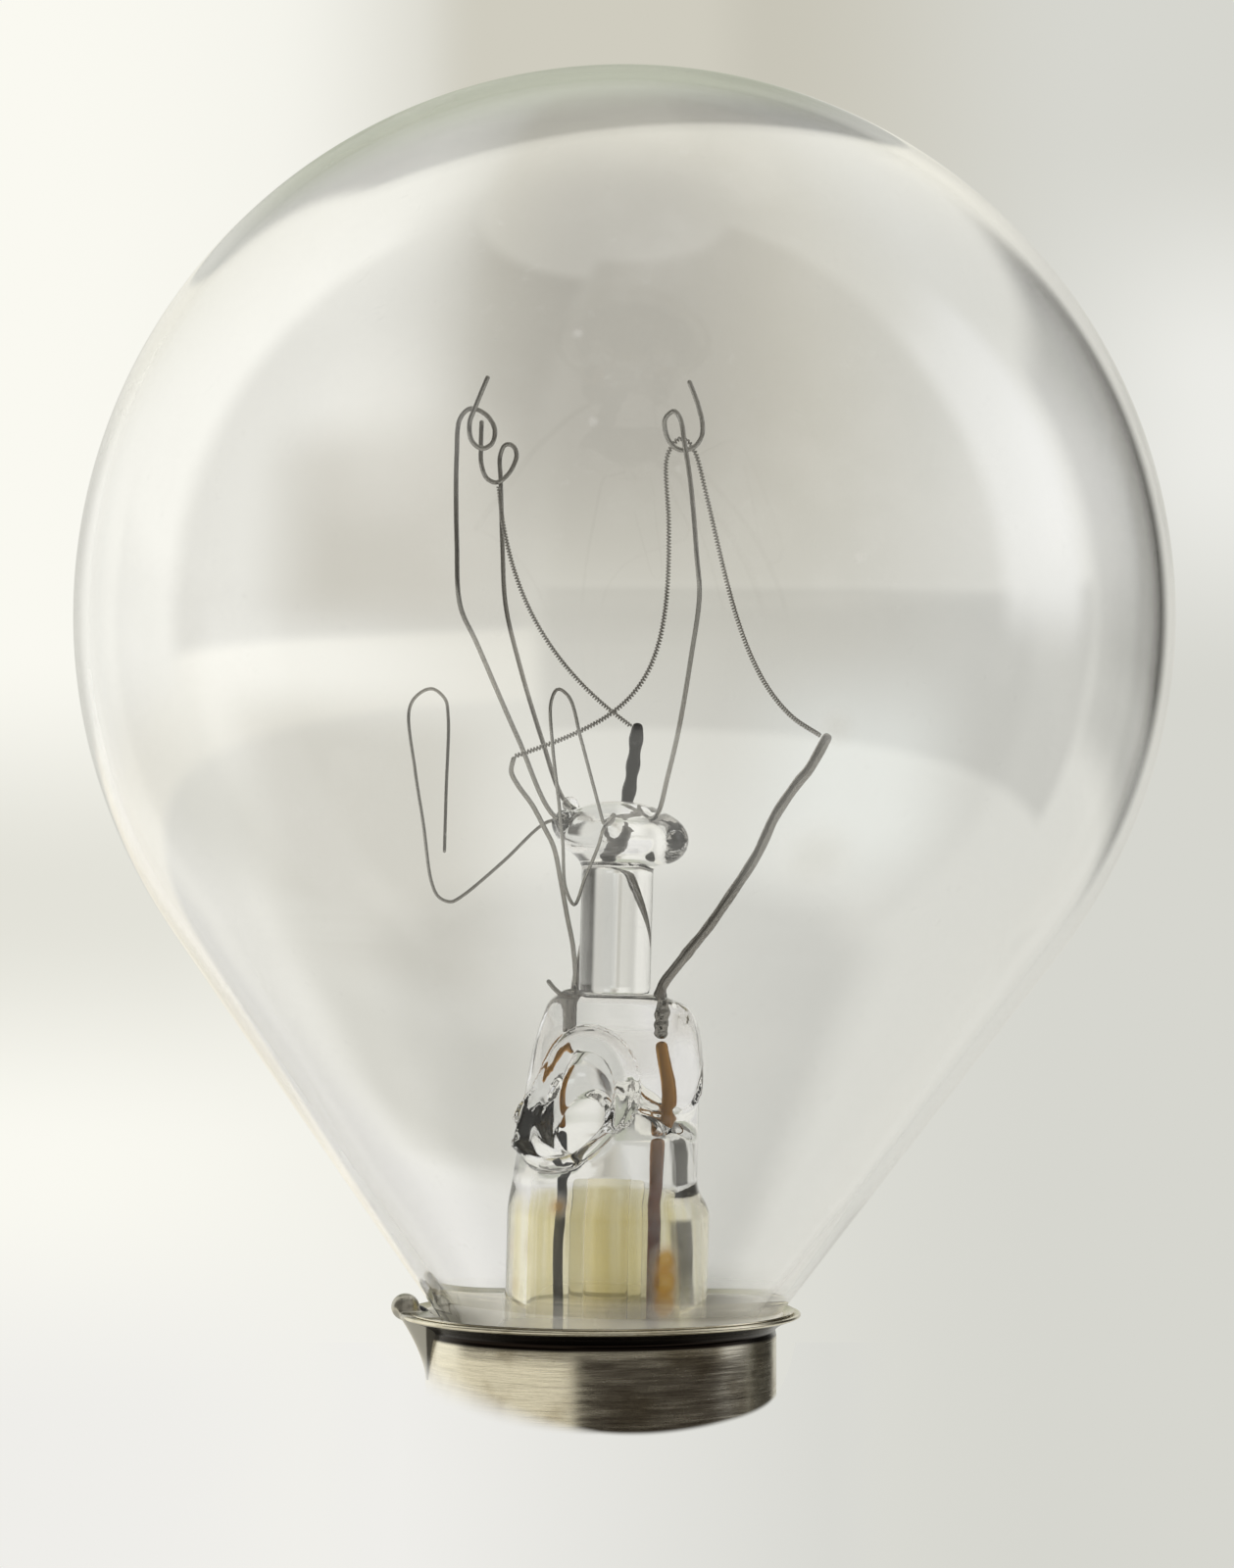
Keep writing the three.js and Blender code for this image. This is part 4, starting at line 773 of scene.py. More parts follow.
def stem_field(space, sizes):
    """Stem: a tube flared below and pressed flat above, less its bore and the blown hole, with the hole's
    curled lip, the bulge beside the right lead and the bead round the hooked wire melted on."""
    radius, wall = sizes.stem_radius, sizes.stem_wall
    flare = sizes.neck_radius - sizes.neck_wall - 0.1
    half_flare = (flare + radius) / 2
    foot, bore_top, hole_centre = 0.3, 16.7, (-1.55, -3.6, 16.0)
    outside = oval_post(space, np.array([
        (foot, flare, flare, 0, 2), (0.9, flare, flare, 0, 2), (2, half_flare, half_flare, 0, 2),
        (4, radius + 0.1, radius + 0.1, 0, 2), (6, radius, radius, 0, 2), (11.7, radius, radius, 0, 2),
        (12.5, radius - 0.35, radius - 0.35, -0.2, 2), (16.1, 3.6, 3.25, 0, 2.5), (18, 3.45, 2.4, 0.15, 3.4),
        (19.2, 3.1, 1.9, 0.1, 3.6), (20.05, 2.7, 1.7, 0, 3.6), (20.4, 2.4, 1.6, -0.1, 3.6),
    ]), 7)
    bore = oval_post(space, np.array([
        (0, flare - wall, flare - wall, 0, 2), (2, half_flare - wall, half_flare - wall, 0, 2),
        (4, radius - wall, radius - wall, 0, 2), (12.7, 3.0, 3.0, -0.2, 2), (14.7, 2.6, 2.4, 0, 2),
        (15.9, 1.9, 1.4, 0, 2), (bore_top, 0.8, 0.5, 0, 2),
    ]), 5)
    bore = -meld(-bore, bore_top - space[2], 0.6)
    shape = -meld(-outside, PINCH_TOP - space[2], 0.5)
    shape = np.maximum(shape, foot - space[2])
    shape = np.maximum(shape, -bore)
    hole = blob(space, hole_centre, (1.75, 2.6, 2.2))
    shape = -meld(-shape, hole, 0.35)
    lip = hole_lip()
    thick = 0.28 + 0.2 * np.clip((lip[:, 2] - 14) / 4, 0, 1)
    shape = meld(shape, strand(space, lip, thick), 0.3)
    curl = lip[lip[:, 2] > 15.3]
    outward = unit((curl - hole_centre) * (1, 0, 1))
    for shift, forward in ((0.5, 0.0), (-0.36, -0.25)):
        shape = meld(shape, strand(space, curl + shift * outward + (0, forward, 0), 0.17), 0.06)
    shape = meld(shape, strand(space, through(EAR_RIDGE, 0.15), 0.2), 0.1)
    shape = meld(shape, blob(space, (2.75, -0.5, 17.9), (0.85, 1.5, 2.2)), 0.2)
    return meld(shape, blob(space, (-1.75, -0.9, 20.3), (0.42, 0.42, 0.32)), 0.3)


class BULB_OT_stem(Operator):
    """Melts the stem with its pinch and blown hole, and draws the tube inside it"""
    bl_idname = "bulb.stem"
    bl_label = "Glass stem"

    def execute(self, context):
        sizes = in_mm(context.scene.bulb_glass)
        glass = melted_stem_glass(context.scene.bulb_colours)
        melted("melted_stem", lambda space: stem_field(space, sizes), (-5.7, -5.7, 0), (5.7, 5.7, 21.1), 0.13,
               glass, ["stem_flare"], leaned)
        radius, bore, rounding = sizes.exhaust_radius, sizes.exhaust_bore, 0.15
        profile = np.vstack([
            arc((0, EXHAUST_TIP + radius), radius, -90, 0, 12),
            arc((radius - rounding, EXHAUST_TOP - rounding), rounding, 0, 90, 4),
            arc((bore + rounding, EXHAUST_TOP - rounding), rounding, 90, 180, 4),
            arc((0, EXHAUST_TIP + 2 * radius), bore, 0, -90, 12),
        ])
        profile[[0, -1], 0] = 0
        tube = drawn_tube_glass(context.scene.bulb_colours)
        turned("drawn_exhaust_tube", profile, 64, tube, ["exhaust_tube"], leaned)
        return {"FINISHED"}


def rod_field(space, sizes):
    """Rod: an upright round bar with a flattened ball melted on its end, a bulge at its right, and a small
    collar where each support wire is set."""
    x, y, z = space
    bar = np.maximum(np.hypot(x, y) - sizes.rod_radius, z - BUTTON_HEIGHT)
    shape = -meld(-bar, z - PINCH_TOP - 0.05, 0.15)
    button = blob(space, (0, 0, BUTTON_HEIGHT), (sizes.button_radius, sizes.button_radius, sizes.button_rise))
    shape = meld(shape, button, 0.5)
    shape = meld(shape, blob(space, (1.75, -0.6, BUTTON_HEIGHT - 0.3), (1.1, 1.2, 0.95)), 0.35)
    for route in (SUPPORT_LEFT_FRONT, SUPPORT_LEFT_REAR, SUPPORT_RIGHT, HAIRPIN_LEFT, HAIRPIN_FRONT):
        root = np.array(route[1]) * 0.75 + np.array(route[0]) * 0.25
        shape = meld(shape, blob(space, root + (0, 0, BUTTON_HEIGHT), (0.35, 0.35, 0.35)), 0.4)
    return shape


class BULB_OT_rod(Operator):
    """Draws the glass rod and melts its end to a button"""
    bl_idname = "bulb.rod"
    bl_label = "Glass rod"

    def execute(self, context):
        sizes = in_mm(context.scene.bulb_glass)
        melted("melted_rod", lambda space: rod_field(space, sizes), (-3.4, -3.4, 20.1), (3.6, 3.4, 28.8), 0.1,
               drawn_glass_rod(context.scene.bulb_colours), ["arbor_rod"], leaned)
        return {"FINISHED"}


class BULB_OT_leads(Operator):
    """Draws the leads: nickel above the pinch, copper-clad in it, and the two that run down into the cap"""
    bl_idname = "bulb.leads"
    bl_label = "Lead wires"

    def execute(self, context):
        sizes, colours = in_mm(context.scene.bulb_wires), context.scene.bulb_colours
        nickel, copper = drawn_nickel(colours), copper_cladding(colours)
        tinned = plain_metal("tinned_copper_wire", colours.tinned, 0.38)
        right = leaned(through(raised(RIGHT_INNER_LEAD, PINCH_TOP), LEAD_STEP, LEAD_END))
        along = np.linspace(0, 1, len(right))
        knots = np.where(along < 0.17, 0.35 * np.abs(np.sin(along * 110)), 0.03 * np.sin(along * 70))
        knotted = sizes.inner_lead * (1 + knots)
        wire("drawn_right_lead", right, knotted, nickel, ["right_inner_lead"], 16)
        rear = leaned(through(raised(REAR_INNER_LEAD, PINCH_TOP), LEAD_STEP, LEAD_END))
        along = np.linspace(0, 1, len(rear))
        swollen = sizes.inner_lead * (1 + np.where(along > 0.74, 0.3 + 0.15 * np.sin(along * 90), 0))
        wire("drawn_rear_lead", rear, swollen, nickel, ["rear_inner_lead"], 16)
        for side, route, radius in (
            ("right", RIGHT_SEAL_WIRE, sizes.right_seal), ("left", LEFT_SEAL_WIRE, sizes.left_seal),
        ):
            path = leaned(through(raised(route, PINCH_TOP), LEAD_STEP, LEAD_END))
            wire(f"sealed_{side}_wire", path, radius, copper, [f"{side}_seal_wire"])
        for side, upper, lower, radius, material, slot in (
            ("right", RIGHT_STEM_LEAD, RIGHT_CAP_LEAD, sizes.right_outer, copper, "copper_clad_wire"),
            ("left", LEFT_STEM_LEAD, LEFT_CAP_LEAD, sizes.left_outer, tinned, "tinned_wire"),
        ):
            path = through(np.vstack([leaned(raised(upper, PINCH_TOP)), lower]), 0.15, LEAD_END)
            wire(f"laid_{side}_lead", path, radius, material, [f"{side}_outer_lead"])
        return {"FINISHED"}


class BULB_OT_supports(Operator):
    """Bends the support wires with their pigtail eyes, the two hairpins and the hooked middle wire"""
    bl_idname = "bulb.supports"
    bl_label = "Support wires"

    def execute(self, context):
        sizes = in_mm(context.scene.bulb_wires)
        drawn = plain_metal("drawn_molybdenum", context.scene.bulb_colours.support, 0.14)
        for name, route, base, radius in (
            ("support_left_front", SUPPORT_LEFT_FRONT, BUTTON_HEIGHT, sizes.support),
            ("support_left_rear", SUPPORT_LEFT_REAR, BUTTON_HEIGHT, sizes.support),
            ("support_right", SUPPORT_RIGHT, BUTTON_HEIGHT, sizes.support),
            ("hairpin_left", HAIRPIN_LEFT, BUTTON_HEIGHT, sizes.hairpin),
            ("hairpin_front", HAIRPIN_FRONT, BUTTON_HEIGHT, sizes.hairpin),
            ("middle_support", MIDDLE_SUPPORT, PINCH_TOP, sizes.support),
        ):
            path = leaned(through(raised(route, base), 0.1, 0.06))
            wire(f"bent_{name}", path, radius, drawn, [name])
        return {"FINISHED"}


def coiled(name, path, sizes, material, node_name):
    """Coiled filament: a fine wire wound round the path, one turn to each pitch."""
    path = resampled(path, sizes.coil_pitch / 10)
    side, up = cross_axes(path)
    along = np.r_[0, np.cumsum(np.linalg.norm(np.diff(path, axis=0), axis=1))]
    turn = (2 * math.pi * along / sizes.coil_pitch)[:, None]
    outward = np.cos(turn) * side + np.sin(turn) * up
    coil = path + sizes.coil * outward
    across = np.cross(unit(np.gradient(coil, axis=0)), outward)
    axes = (outward, unit(across))
    return wire(name, coil, sizes.coil_wire, material, [node_name], 6, axes)


class BULB_OT_filament(Operator):
    """Winds the two lengths that are left of the burnt filament"""
    bl_idname = "bulb.filament"
    bl_label = "Broken filament"

    def execute(self, context):
        sizes = in_mm(context.scene.bulb_wires)
        tungsten = plain_metal("coiled_tungsten", context.scene.bulb_colours.tungsten, 0.2)
        eye = np.array((2.0, -5.75, BUTTON_HEIGHT + 15.85))
        lead_tip = np.array(RIGHT_INNER_LEAD[-1]) + (-0.35, -0.3, PINCH_TOP - 0.1)
        hook_tip = np.array(MIDDLE_SUPPORT[-1]) + (0, -0.35, PINCH_TOP)
        right = np.vstack([
            leg(lead_tip, (-3.6, -2.2, 1.5), eye + (0.65, 0.15, -0.55), (1.4, 0, -4.4), 9),
            eye + (0.35, 0.15, -0.1), eye, eye + (-0.3, 0, -0.3),
            leg(eye + (-0.5, 0.05, -0.85), (0.7, 0.2, -9), hook_tip, (5.4, -0.2, 2), 11),
        ])
        coiled("wound_right_filament", leaned(through(right, 0.1)), sizes, tungsten, "filament_right")
        loop = np.array(SUPPORT_LEFT_REAR[12]) + (0.1, -0.4, BUTTON_HEIGHT - 0.2)
        rear_tip = np.array(REAR_INNER_LEAD[-1]) + (-0.3, -0.25, PINCH_TOP - 0.15)
        left = leg(loop, (0.4, 0.1, -3.8), rear_tip, (-4, -1.1, 2.7), 10)
        coiled("wound_left_filament", leaned(through(left, 0.1)), sizes, tungsten, "filament_left")
        return {"FINISHED"}


def cap_levels(sizes):
    """Heights of the cap's parts, worked down from its rim."""
    skirt_top = sizes.height - sizes.rim_lip - sizes.rim_flare
    shoulder, heel = 0.8, 1.3
    skirt_foot = skirt_top - sizes.skirt_height
    thread_top = skirt_foot - shoulder
    thread_foot = thread_top - sizes.thread_height
    return skirt_top, skirt_foot, thread_top, thread_foot, thread_foot - heel


def eased(points, count):
    """Profile of radius and height drawn smoothly through its points."""
    flat = np.asarray(points, float)
    path = through(np.column_stack([flat, np.zeros(len(flat))]), 0.05)
    return path[np.linspace(0, len(path) - 1, count).round().astype(int), :2]


class BULB_OT_cap(Operator):
    """Spins the cap's shell: rolled rim, hollow, plain skirt, rolled thread and turned-in foot"""
    bl_idname = "bulb.cap"
    bl_label = "Cap shell"

    def execute(self, context):
        sizes = in_mm(context.scene.bulb_cap)
        skirt_top, skirt_foot, thread_top, thread_foot, foot = cap_levels(sizes)
        lip, wall = sizes.rim_lip / 2, sizes.sheet
        mean = sizes.thread_crest - sizes.thread_depth / 2
        overhang = sizes.rim_radius - sizes.skirt_radius - lip
        rim = arc((sizes.rim_radius - lip, sizes.height - lip), lip, 100, -70, 9)
        hollow = eased([
            rim[-1], (sizes.skirt_radius + overhang * 0.3, skirt_top + sizes.rim_flare * 0.68),
            (sizes.skirt_radius - 0.04, skirt_top + sizes.rim_flare * 0.34),
            (sizes.skirt_radius - 0.02, skirt_top + 0.12),
        ], 14)[1:]
        skirt = np.linspace((sizes.skirt_radius, skirt_top), (sizes.skirt_radius, skirt_foot + 0.3), 12)
        shoulder = eased([
            skirt[-1], (sizes.skirt_radius - 0.12, skirt_foot - 0.05), (mean, thread_top)], 8)[1:-1]
        thread = np.linspace((mean, thread_top), (mean, thread_foot), 90)
        heel = eased([
            thread[-1], (mean - 0.2, thread_foot - 0.65),
            ((mean + sizes.mouth_radius) / 2 + 0.25, foot + 0.12), (sizes.mouth_radius, foot),
        ], 10)[1:]
        outer = np.vstack([rim, hollow, skirt, shoulder, thread, heel])
        slope = unit(np.gradient(outer, axis=0))
        inner = outer + wall * np.stack([slope[:, 1], -slope[:, 0]], axis=1)
        inner[:len(rim), 0] = sizes.rim_radius - lip - wall
        inner[:len(rim), 1] = np.linspace(sizes.height - 0.02, sizes.height - lip, len(rim))
        profile = np.vstack([outer, inner[::-1]])
        radius, height = profile.T
        into = np.clip(np.minimum(thread_top - height, height - thread_foot) / 0.9, 0, 1)
        share = into * into * (3 - 2 * into)
        turn = np.linspace(0, 2 * math.pi, 160, endpoint=False)
        wave = np.cos(2 * math.pi * height[:, None] / sizes.thread_pitch - turn)
        out = radius[:, None] + sizes.thread_depth / 2 * share[:, None] * wave
        heights = np.broadcast_to(height[:, None], out.shape)
        grid = np.stack([out * np.cos(turn), out * np.sin(turn), heights], axis=-1)
        girth = 2 * math.pi * sizes.skirt_radius
        sheet = tarnished_plated_sheet(context.scene.bulb_colours)
        skin("spun_cap_shell", grid, girth, sheet, ["cap_shell"], closed=True)
        return {"FINISHED"}


class BULB_OT_cap_foot(Operator):
    """Fills the cap: black glass, contact plate and solder drop at its foot, cement round the neck"""
    bl_idname = "bulb.cap_foot"
    bl_label = "Cap fillings"

    def execute(self, context):
        sizes, colours = in_mm(context.scene.bulb_cap), context.scene.bulb_colours
        foot = cap_levels(sizes)[-1]
        plate, mouth = sizes.contact_radius, sizes.mouth_radius
        contact_face, contact_top, plate_hole, glass_hole = 0.5, 1.1, 0.31, 0.45
        seat = foot + sizes.sheet + 0.2
        head = sizes.thread_crest - sizes.thread_depth - sizes.sheet - 0.5
        turned("moulded_insulator", [
            (glass_hole, contact_top + 0.05), (plate + 0.25, contact_top + 0.05),
            (plate + 0.4, contact_top + 0.1), (plate + 0.9, contact_top + 0.45), (mouth - 0.12, foot - 0.12),
            (mouth - 0.05, foot), (mouth - 0.05, seat), (head, seat + 0.2), (head, seat + 1.9),
            (glass_hole, seat + 1.9),
        ], 96, moulded_black_glass(colours), ["cap_insulator"])
        turned("stamped_contact", [
            (plate_hole, contact_face), (plate - 0.25, contact_face), (plate - 0.07, contact_face + 0.07),
            (plate, contact_face + 0.25), (plate, contact_top), (plate_hole, contact_top),
        ], 96, plain_metal("stamped_brass", colours.brass, 0.35), ["cap_contact"])
        dome = eased([(0.92, 0.01), (1.3, 0.17), (sizes.drop_radius, 0.45)], 8)
        drop = np.vstack([[(0, 0), (0.86, 0)], dome, [(0, 0.45)]])
        solder = plain_metal("set_solder", colours.solder, 0.3)
        turned("set_solder_drop", drop, 64, solder, ["contact_solder"])
        bore = sizes.skirt_radius - sizes.sheet - 0.05
        turned("baked_cement_ring", [
            (6.5, 18.4), (bore, 18.4), (bore, 24.5), (7.0, 24.8), (7.2, 25.02), (7.5, 25.17), (7.42, 25.22),
            (7.1, 25.2), (6.82, 24.85), (6.52, 24.3),
        ], 96, baked_cement(colours), ["cap_cement"])
        return {"FINISHED"}


def solder_field(space, sizes):
    """Side solder: a bead over the rim, and a run that thins to a point down the skirt, nearer the front."""
    x, y, z = space
    run_foot, run_top, run_middle = 22.6, 25.3, -1.35
    bead = blob(space, (-8.0, -0.5, 25.5), (0.58, 0.6, 0.55))
    drop = np.clip((z - run_foot) / 2.5, 0.02, 1)
    out = np.hypot(x, y) - sizes.skirt_radius
    across = np.abs(y - run_middle) / (0.1 + 1.5 * drop**1.2)
    proud = out - drop**1.6 * (1 - 0.6 * across**2) - 0.05
    run = np.maximum(np.maximum(proud, -out - 0.2), (across - 1) * 0.4)
    run = np.maximum(run, np.maximum(run_foot - z, np.maximum(z - run_top, x + 3)))
    return meld(bead, run, 0.25)


class BULB_OT_side_solder(Operator):
    """Sets the solder bead on the rim, with its run down the skirt"""
    bl_idname = "bulb.side_solder"
    bl_label = "Side solder"

    def execute(self, context):
        sizes, colours = in_mm(context.scene.bulb_cap), context.scene.bulb_colours
        solder = plain_metal("set_solder", colours.solder, 0.3)
        melted("set_side_solder", lambda space: solder_field(space, sizes), (-9.0, -3.4, 22.2),
               (-5.6, 1.2, 26.4), 0.05, solder, ["side_solder"])
        return {"FINISHED"}


# Stage


def window(tree, value, low, high, soft):
    """One between two bounds and zero beyond them, with soft steps."""
    rise = node(tree, "ShaderNodeMapRange", {
        "Value": value, "From Min": low - soft, "From Max": low + soft}, interpolation_type="SMOOTHSTEP")
    fall = node(tree, "ShaderNodeMapRange", {
        "Value": value, "From Min": high + soft, "From Max": high - soft}, interpolation_type="SMOOTHSTEP")
    return node(tree, "ShaderNodeMath", {0: rise, 1: fall}, operation="MULTIPLY").outputs[0]


def studio_world():
    """Pale backdrop for what is seen straight or through glass, a plain even light for all else, and for
    reflections a room of light and dark panels by direction."""
    world = bpy.data.worlds.new("Studio")
    world.use_nodes = True
    tree = world.node_tree
    tree.nodes.clear()
    way = node(tree, "ShaderNodeTexCoord").outputs["Generated"]
    axes = node(tree, "ShaderNodeSeparateXYZ", {0: way})
    x, y, z = axes.outputs
    behind = node(tree, "ShaderNodeMath", {0: x, 1: y}, operation="ARCTAN2")
    minus_y = node(tree, "ShaderNodeMath", {0: y, 1: -1.0}, operation="MULTIPLY")
    before = node(tree, "ShaderNodeMath", {0: x, 1: minus_y}, operation="ARCTAN2")
    up = node(tree, "ShaderNodeMath", {0: z}, operation="ARCSINE")
    back, front, rise = (
        node(tree, "ShaderNodeMath", {0: angle}, operation="DEGREES").outputs[0]
        for angle in (behind, before, up)
    )

    def panelled(base, panels):
        """Base colour with each panel laid over it in turn."""
        for tone, side, heights, (soft_round, soft_up), turns in panels:
            across = window(tree, {"front": front, "back": back}[side], *turns, soft_round)
            upright = window(tree, rise, *heights, soft_up)
            share = node(tree, "ShaderNodeMath", {0: across, 1: upright}, operation="MULTIPLY")
            base = node(tree, "ShaderNodeMix", {
                0: share, 6: base, 7: rgba(linear(tone))}, data_type="RGBA").outputs[2]
        return base

    halfway = node(tree, "ShaderNodeVectorMath", {0: way, 1: CROWN_SIGHT}, operation="SUBTRACT")
    facing = node(tree, "ShaderNodeVectorMath", {0: halfway}, operation="NORMALIZE")
    crown = node(tree, "ShaderNodeVectorMath", {
        0: facing, 1: CROWN_AXIS}, operation="DOT_PRODUCT").outputs["Value"]
    glow, edge, paler, left_end, high, rightward, far_left = (
        node(tree, "ShaderNodeMapRange", {
            "Value": value, "From Min": low, "From Max": full}, interpolation_type="SMOOTHSTEP").outputs[0]
        for value, low, full in (
            (crown, 0.05, 0.35), (crown, 0.373, 0.397), (crown, 0.42, 0.6), (x, -0.46, -0.4), (rise, 18, 46),
            (back, -6.5, 5), (back, -60, -150),
        )
    )
    crescent = node(tree, "ShaderNodeMath", {0: edge, 1: left_end}, operation="MULTIPLY").outputs[0]
    turned_right = node(tree, "ShaderNodeMath", {0: rightward, 1: far_left}, operation="MAXIMUM").outputs[0]
    deep, backdrop = (
        node(tree, "ShaderNodeMix", {0: share, 6: rgba(linear(first)), 7: rgba(linear(second))},
             data_type="RGBA").outputs[2]
        for share, first, second in ((high, "#cfcfc7", "#070806"), (turned_right, "#faf9f1", "#d6d6cf"))
    )
    room = panelled(rgba(linear("#d9d8d0")), ROOM_PANELS)
    shade = node(tree, "ShaderNodeMix", {
        0: paler, 6: deep, 7: rgba(linear("#bcbfae"))}, data_type="RGBA").outputs[2]
    for share, tone in ((glow, rgba(linear("#f1efe3"))), (crescent, shade)):
        room = node(tree, "ShaderNodeMix", {0: share, 6: room, 7: tone}, data_type="RGBA").outputs[2]
    backdrop = panelled(backdrop, BACKDROP_PANELS)
    clouded = panelled(backdrop, CLOUD_PANELS)
    aside = node(tree, "ShaderNodeMath", {0: back}, operation="ABSOLUTE").outputs[0]
    beside = node(tree, "ShaderNodeMapRange", {"Value": aside, "From Min": 12.0, "From Max": 20.0})
    level_up = node(tree, "ShaderNodeMapRange", {"Value": rise, "From Min": -6.0, "From Max": -2.0})
    sideways = node(tree, "ShaderNodeMath", {0: beside, 1: level_up}, operation="MULTIPLY")
    above = node(tree, "ShaderNodeMapRange", {"Value": rise, "From Min": 12.0, "From Max": 18.0})
    bent = node(tree, "ShaderNodeMath", {0: sideways, 1: above}, operation="MAXIMUM")
    through_glass = node(tree, "ShaderNodeMix", {0: bent, 6: clouded, 7: room}, data_type="RGBA").outputs[2]

    path = node(tree, "ShaderNodeLightPath")
    shown = rgba(linear("#bdbcb8"))
    views = {"Is Glossy Ray": room, "Is Transmission Ray": through_glass, "Is Camera Ray": backdrop}
    for ray, view in views.items():
        shown = node(tree, "ShaderNodeMix", {
            0: path.outputs[ray], 6: shown, 7: view}, data_type="RGBA").outputs[2]
    emitter = node(tree, "ShaderNodeBackground", {"Color": shown, "Strength": 1.0})
    node(tree, "ShaderNodeOutputWorld", {"Surface": emitter})
    return world


def stage_sheet(name, grid, material):
    """Flat sheet of the stage, over a grid of points in millimetres."""
    rows, columns = grid.shape[:2]
    i, j = np.mgrid[0:rows - 1, 0:columns - 1]
    corner = i * columns + j
    faces = np.stack([corner, corner + columns, corner + columns + 1, corner + 1], axis=-1)
    mesh = bpy.data.meshes.new(name)
    mesh.from_pydata((grid.reshape(-1, 3) * MM).tolist(), [], faces.reshape(-1, 4).tolist())
    mesh.materials.append(material)
    made = bpy.data.objects.new(name, mesh)
    bpy.context.scene.collection.objects.link(made)
    return made


def faded_paper(colours):
    """Pale matt paper that fades out round its edge, so that the backdrop takes over."""
    made, tree, shader = finish("faded_paper", {"Base Color": rgba(colours.paper), "Roughness": 0.9})
    place = node(tree, "ShaderNodeTexCoord").outputs["Object"]
    away = node(tree, "ShaderNodeVectorMath", {0: place}, operation="LENGTH").outputs["Value"]
    kept = node(tree, "ShaderNodeMapRange", {
        "Value": away, "From Min": FLOOR_FADE[0] * MM, "From Max": FLOOR_FADE[1] * MM,
    }, interpolation_type="SMOOTHSTEP")
    tree.links.new(kept.outputs[0], shader.inputs["Alpha"])
    return made


def pale_mist():
    """Pale glow before the cap's lower part: its upper edge is a shallow bowl, turned up at the right and
    softer towards the left."""
    made = bpy.data.materials.new("pale_mist")
    made.use_nodes = True
    tree = made.node_tree
    tree.nodes.clear()
    place = node(tree, "ShaderNodeTexCoord").outputs["Object"]
    axes = node(tree, "ShaderNodeSeparateXYZ", {0: place})
    off = node(tree, "ShaderNodeMath", {0: axes.outputs[0], 1: MIST_MIDDLE * MM}, operation="SUBTRACT")
    squared = node(tree, "ShaderNodeMath", {0: off, 1: off}, operation="MULTIPLY")
    bowl = node(tree, "ShaderNodeMath", {
        0: squared, 1: 0.036 / MM, 2: MIST_TOP * MM}, operation="MULTIPLY_ADD")
    right = node(tree, "ShaderNodeMath", {0: off, 1: 0.0}, operation="MAXIMUM")
    share = node(tree, "ShaderNodeMath", {0: right, 1: 6.1 * MM}, operation="DIVIDE")
    corner = node(tree, "ShaderNodeMath", {0: share, 1: 14.0}, operation="POWER")
    edge = node(tree, "ShaderNodeMath", {0: corner, 1: 0.9 * MM, 2: bowl}, operation="MULTIPLY_ADD")
    below = node(tree, "ShaderNodeMath", {0: edge, 1: axes.outputs[2]}, operation="SUBTRACT")
    soft = node(tree, "ShaderNodeMapRange", {
        "Value": axes.outputs[0], "From Min": -6 * MM, "From Max": 0.0,
        "To Min": 0.9 * MM, "To Max": 0.12 * MM})
    above = node(tree, "ShaderNodeMath", {0: soft, 1: -1.0}, operation="MULTIPLY")
    solid = node(tree, "ShaderNodeMapRange", {
        "Value": below, "From Min": above, "From Max": soft}, interpolation_type="SMOOTHSTEP")
    narrow = window(tree, axes.outputs[0], -MIST_REACH * MM, MIST_REACH * MM, 1.5 * MM)
    shown = node(tree, "ShaderNodeMath", {0: solid, 1: narrow}, operation="MULTIPLY")
    across = node(tree, "ShaderNodeMapRange", {
        "Value": axes.outputs[0], "From Min": -8 * MM, "From Max": 9 * MM})
    tone = node(tree, "ShaderNodeMix", {
        0: across, 6: rgba(linear("#efeeea")), 7: rgba(linear("#d9d9d3"))}, data_type="RGBA")
    glow = node(tree, "ShaderNodeEmission", {"Color": tone.outputs[2]})
    clear = node(tree, "ShaderNodeBsdfTransparent")
    mixed = node(tree, "ShaderNodeMixShader", {0: shown, 1: clear, 2: glow})
    node(tree, "ShaderNodeOutputMaterial", {"Surface": mixed})
    return made


def lamp(name, location, size, watts):
    """Large soft lamp that faces the bulb and stays out of its reflections."""
    light = bpy.data.lights.new(name, "AREA")
    light.size = size
    light.energy = watts
    made = bpy.data.objects.new(name, light)
    made.location = location
    aim = made.location.copy()
    aim.z -= LAMP_AIM
    made.rotation_euler = aim.to_track_quat("Z", "Y").to_euler()
    made.visible_glossy = False
    made.visible_transmission = False
    bpy.context.scene.collection.objects.link(made)


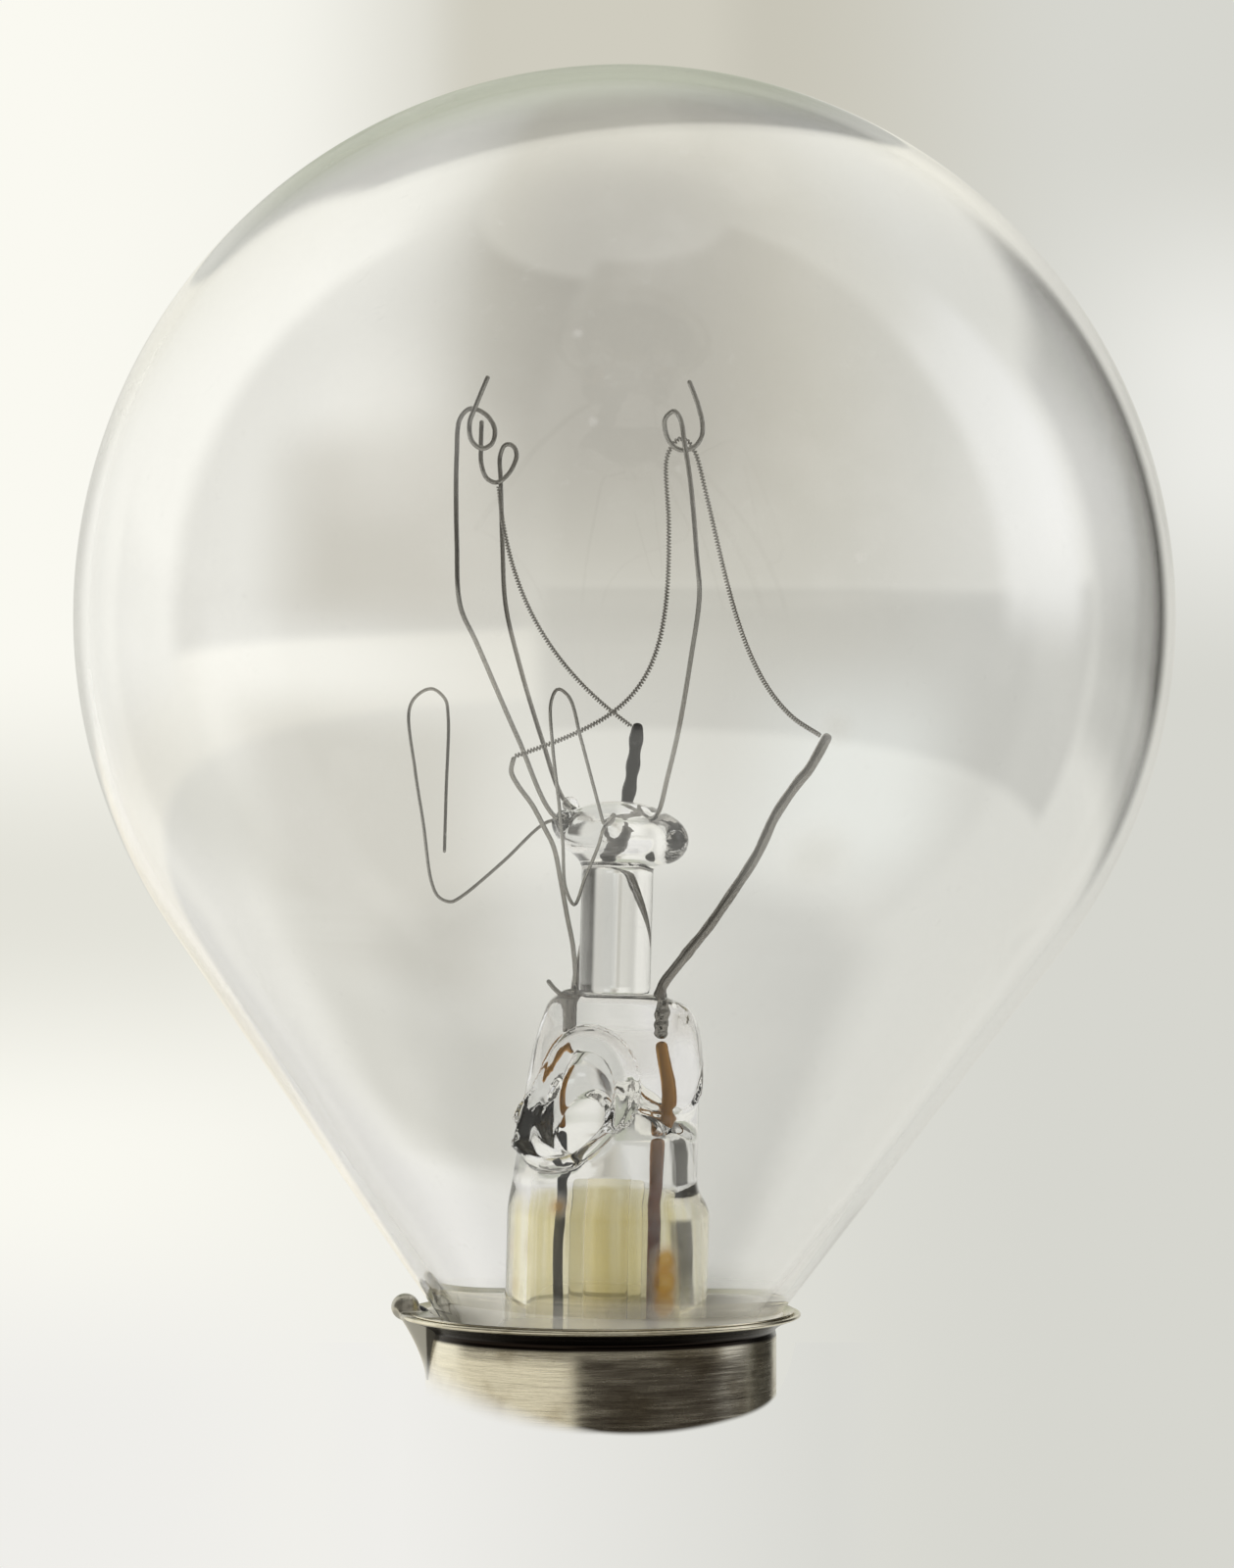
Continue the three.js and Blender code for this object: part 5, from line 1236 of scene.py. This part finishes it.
class BULB_OT_stage(Operator):
    """Sets the camera, the pale floor and backdrop, and the soft lamps"""
    bl_idname = "bulb.stage"
    bl_label = "Stage"

    def execute(self, context):
        scene, colours = context.scene, context.scene.bulb_colours
        scene.view_settings.view_transform = "Standard"
        scene.world = studio_world()
        scene.cycles.max_bounces = 32
        scene.cycles.transmission_bounces = 32
        scene.cycles.transparent_max_bounces = 16
        eye = bpy.data.cameras.new("Camera")
        eye.lens = LENS
        eye.sensor_width = 36
        eye.clip_start = 0.01
        camera = bpy.data.objects.new("Camera", eye)
        camera.location = [place * MM for place in EYE]
        camera.rotation_euler = (math.radians(90), 0, 0)
        scene.collection.objects.link(camera)
        scene.camera = camera
        along = np.linspace(-FLOOR_REACH, FLOOR_REACH, 41)
        across, deep = np.meshgrid(along, along, indexing="ij")
        flat = np.stack([across, deep, np.full_like(across, FLOOR_HEIGHT)], axis=-1)
        floor = stage_sheet("Floor", flat, faded_paper(colours))
        floor.visible_glossy = False
        across, upright = np.meshgrid(*(np.linspace(*edges, 14) for edges in MIST_SHEET), indexing="ij")
        sheet = np.stack([across, np.full_like(across, MIST_DEPTH), upright], axis=-1)
        card = stage_sheet("Mist", sheet, pale_mist())
        card.scale = (MIST_NEARNESS,) * 3
        card.location = (1 - MIST_NEARNESS) * camera.location
        card.visible_glossy = False
        card.visible_diffuse = False
        card.visible_transmission = False
        card.visible_shadow = False
        for name, place, size, watts in LAMPS:
            lamp(name, place, size, watts)
        return {"FINISHED"}


class BULB_PT_panel(Panel):
    """Lists the bulb's pieces, sizes and colours"""
    bl_label = "Dead Light Bulb"
    bl_space_type = "VIEW_3D"
    bl_region_type = "UI"
    bl_category = "Bulb"

    def draw(self, context):
        for operator in OPERATORS:
            self.layout.operator(operator.bl_idname)
        for setting in GROUPS:
            group = getattr(context.scene, setting)
            box = self.layout.box()
            for name in group.__annotations__:
                box.prop(group, name)


GROUPS = {
    "bulb_glass": BulbGlassSizes, "bulb_wires": BulbWireSizes, "bulb_cap": BulbCapSizes,
    "bulb_colours": BulbColours,
}
OPERATORS = (
    BULB_OT_stage, BULB_OT_envelope, BULB_OT_stem, BULB_OT_rod, BULB_OT_leads, BULB_OT_supports,
    BULB_OT_filament, BULB_OT_cap, BULB_OT_cap_foot, BULB_OT_side_solder,
)
CLASSES = (*GROUPS.values(), *OPERATORS, BULB_PT_panel)


def register():
    """Adds the classes and the scene's settings."""
    for each in CLASSES:
        bpy.utils.register_class(each)
    for name, group in GROUPS.items():
        setattr(bpy.types.Scene, name, PointerProperty(type=group))


def unregister():
    """Removes them again."""
    for name in GROUPS:
        delattr(bpy.types.Scene, name)
    for each in reversed(CLASSES):
        bpy.utils.unregister_class(each)


def main():
    """Registers the classes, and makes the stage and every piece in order."""
    register()
    for operator in OPERATORS:
        group, name = operator.bl_idname.split(".")
        getattr(getattr(bpy.ops, group), name)()


if __name__ == "__main__":
    main()
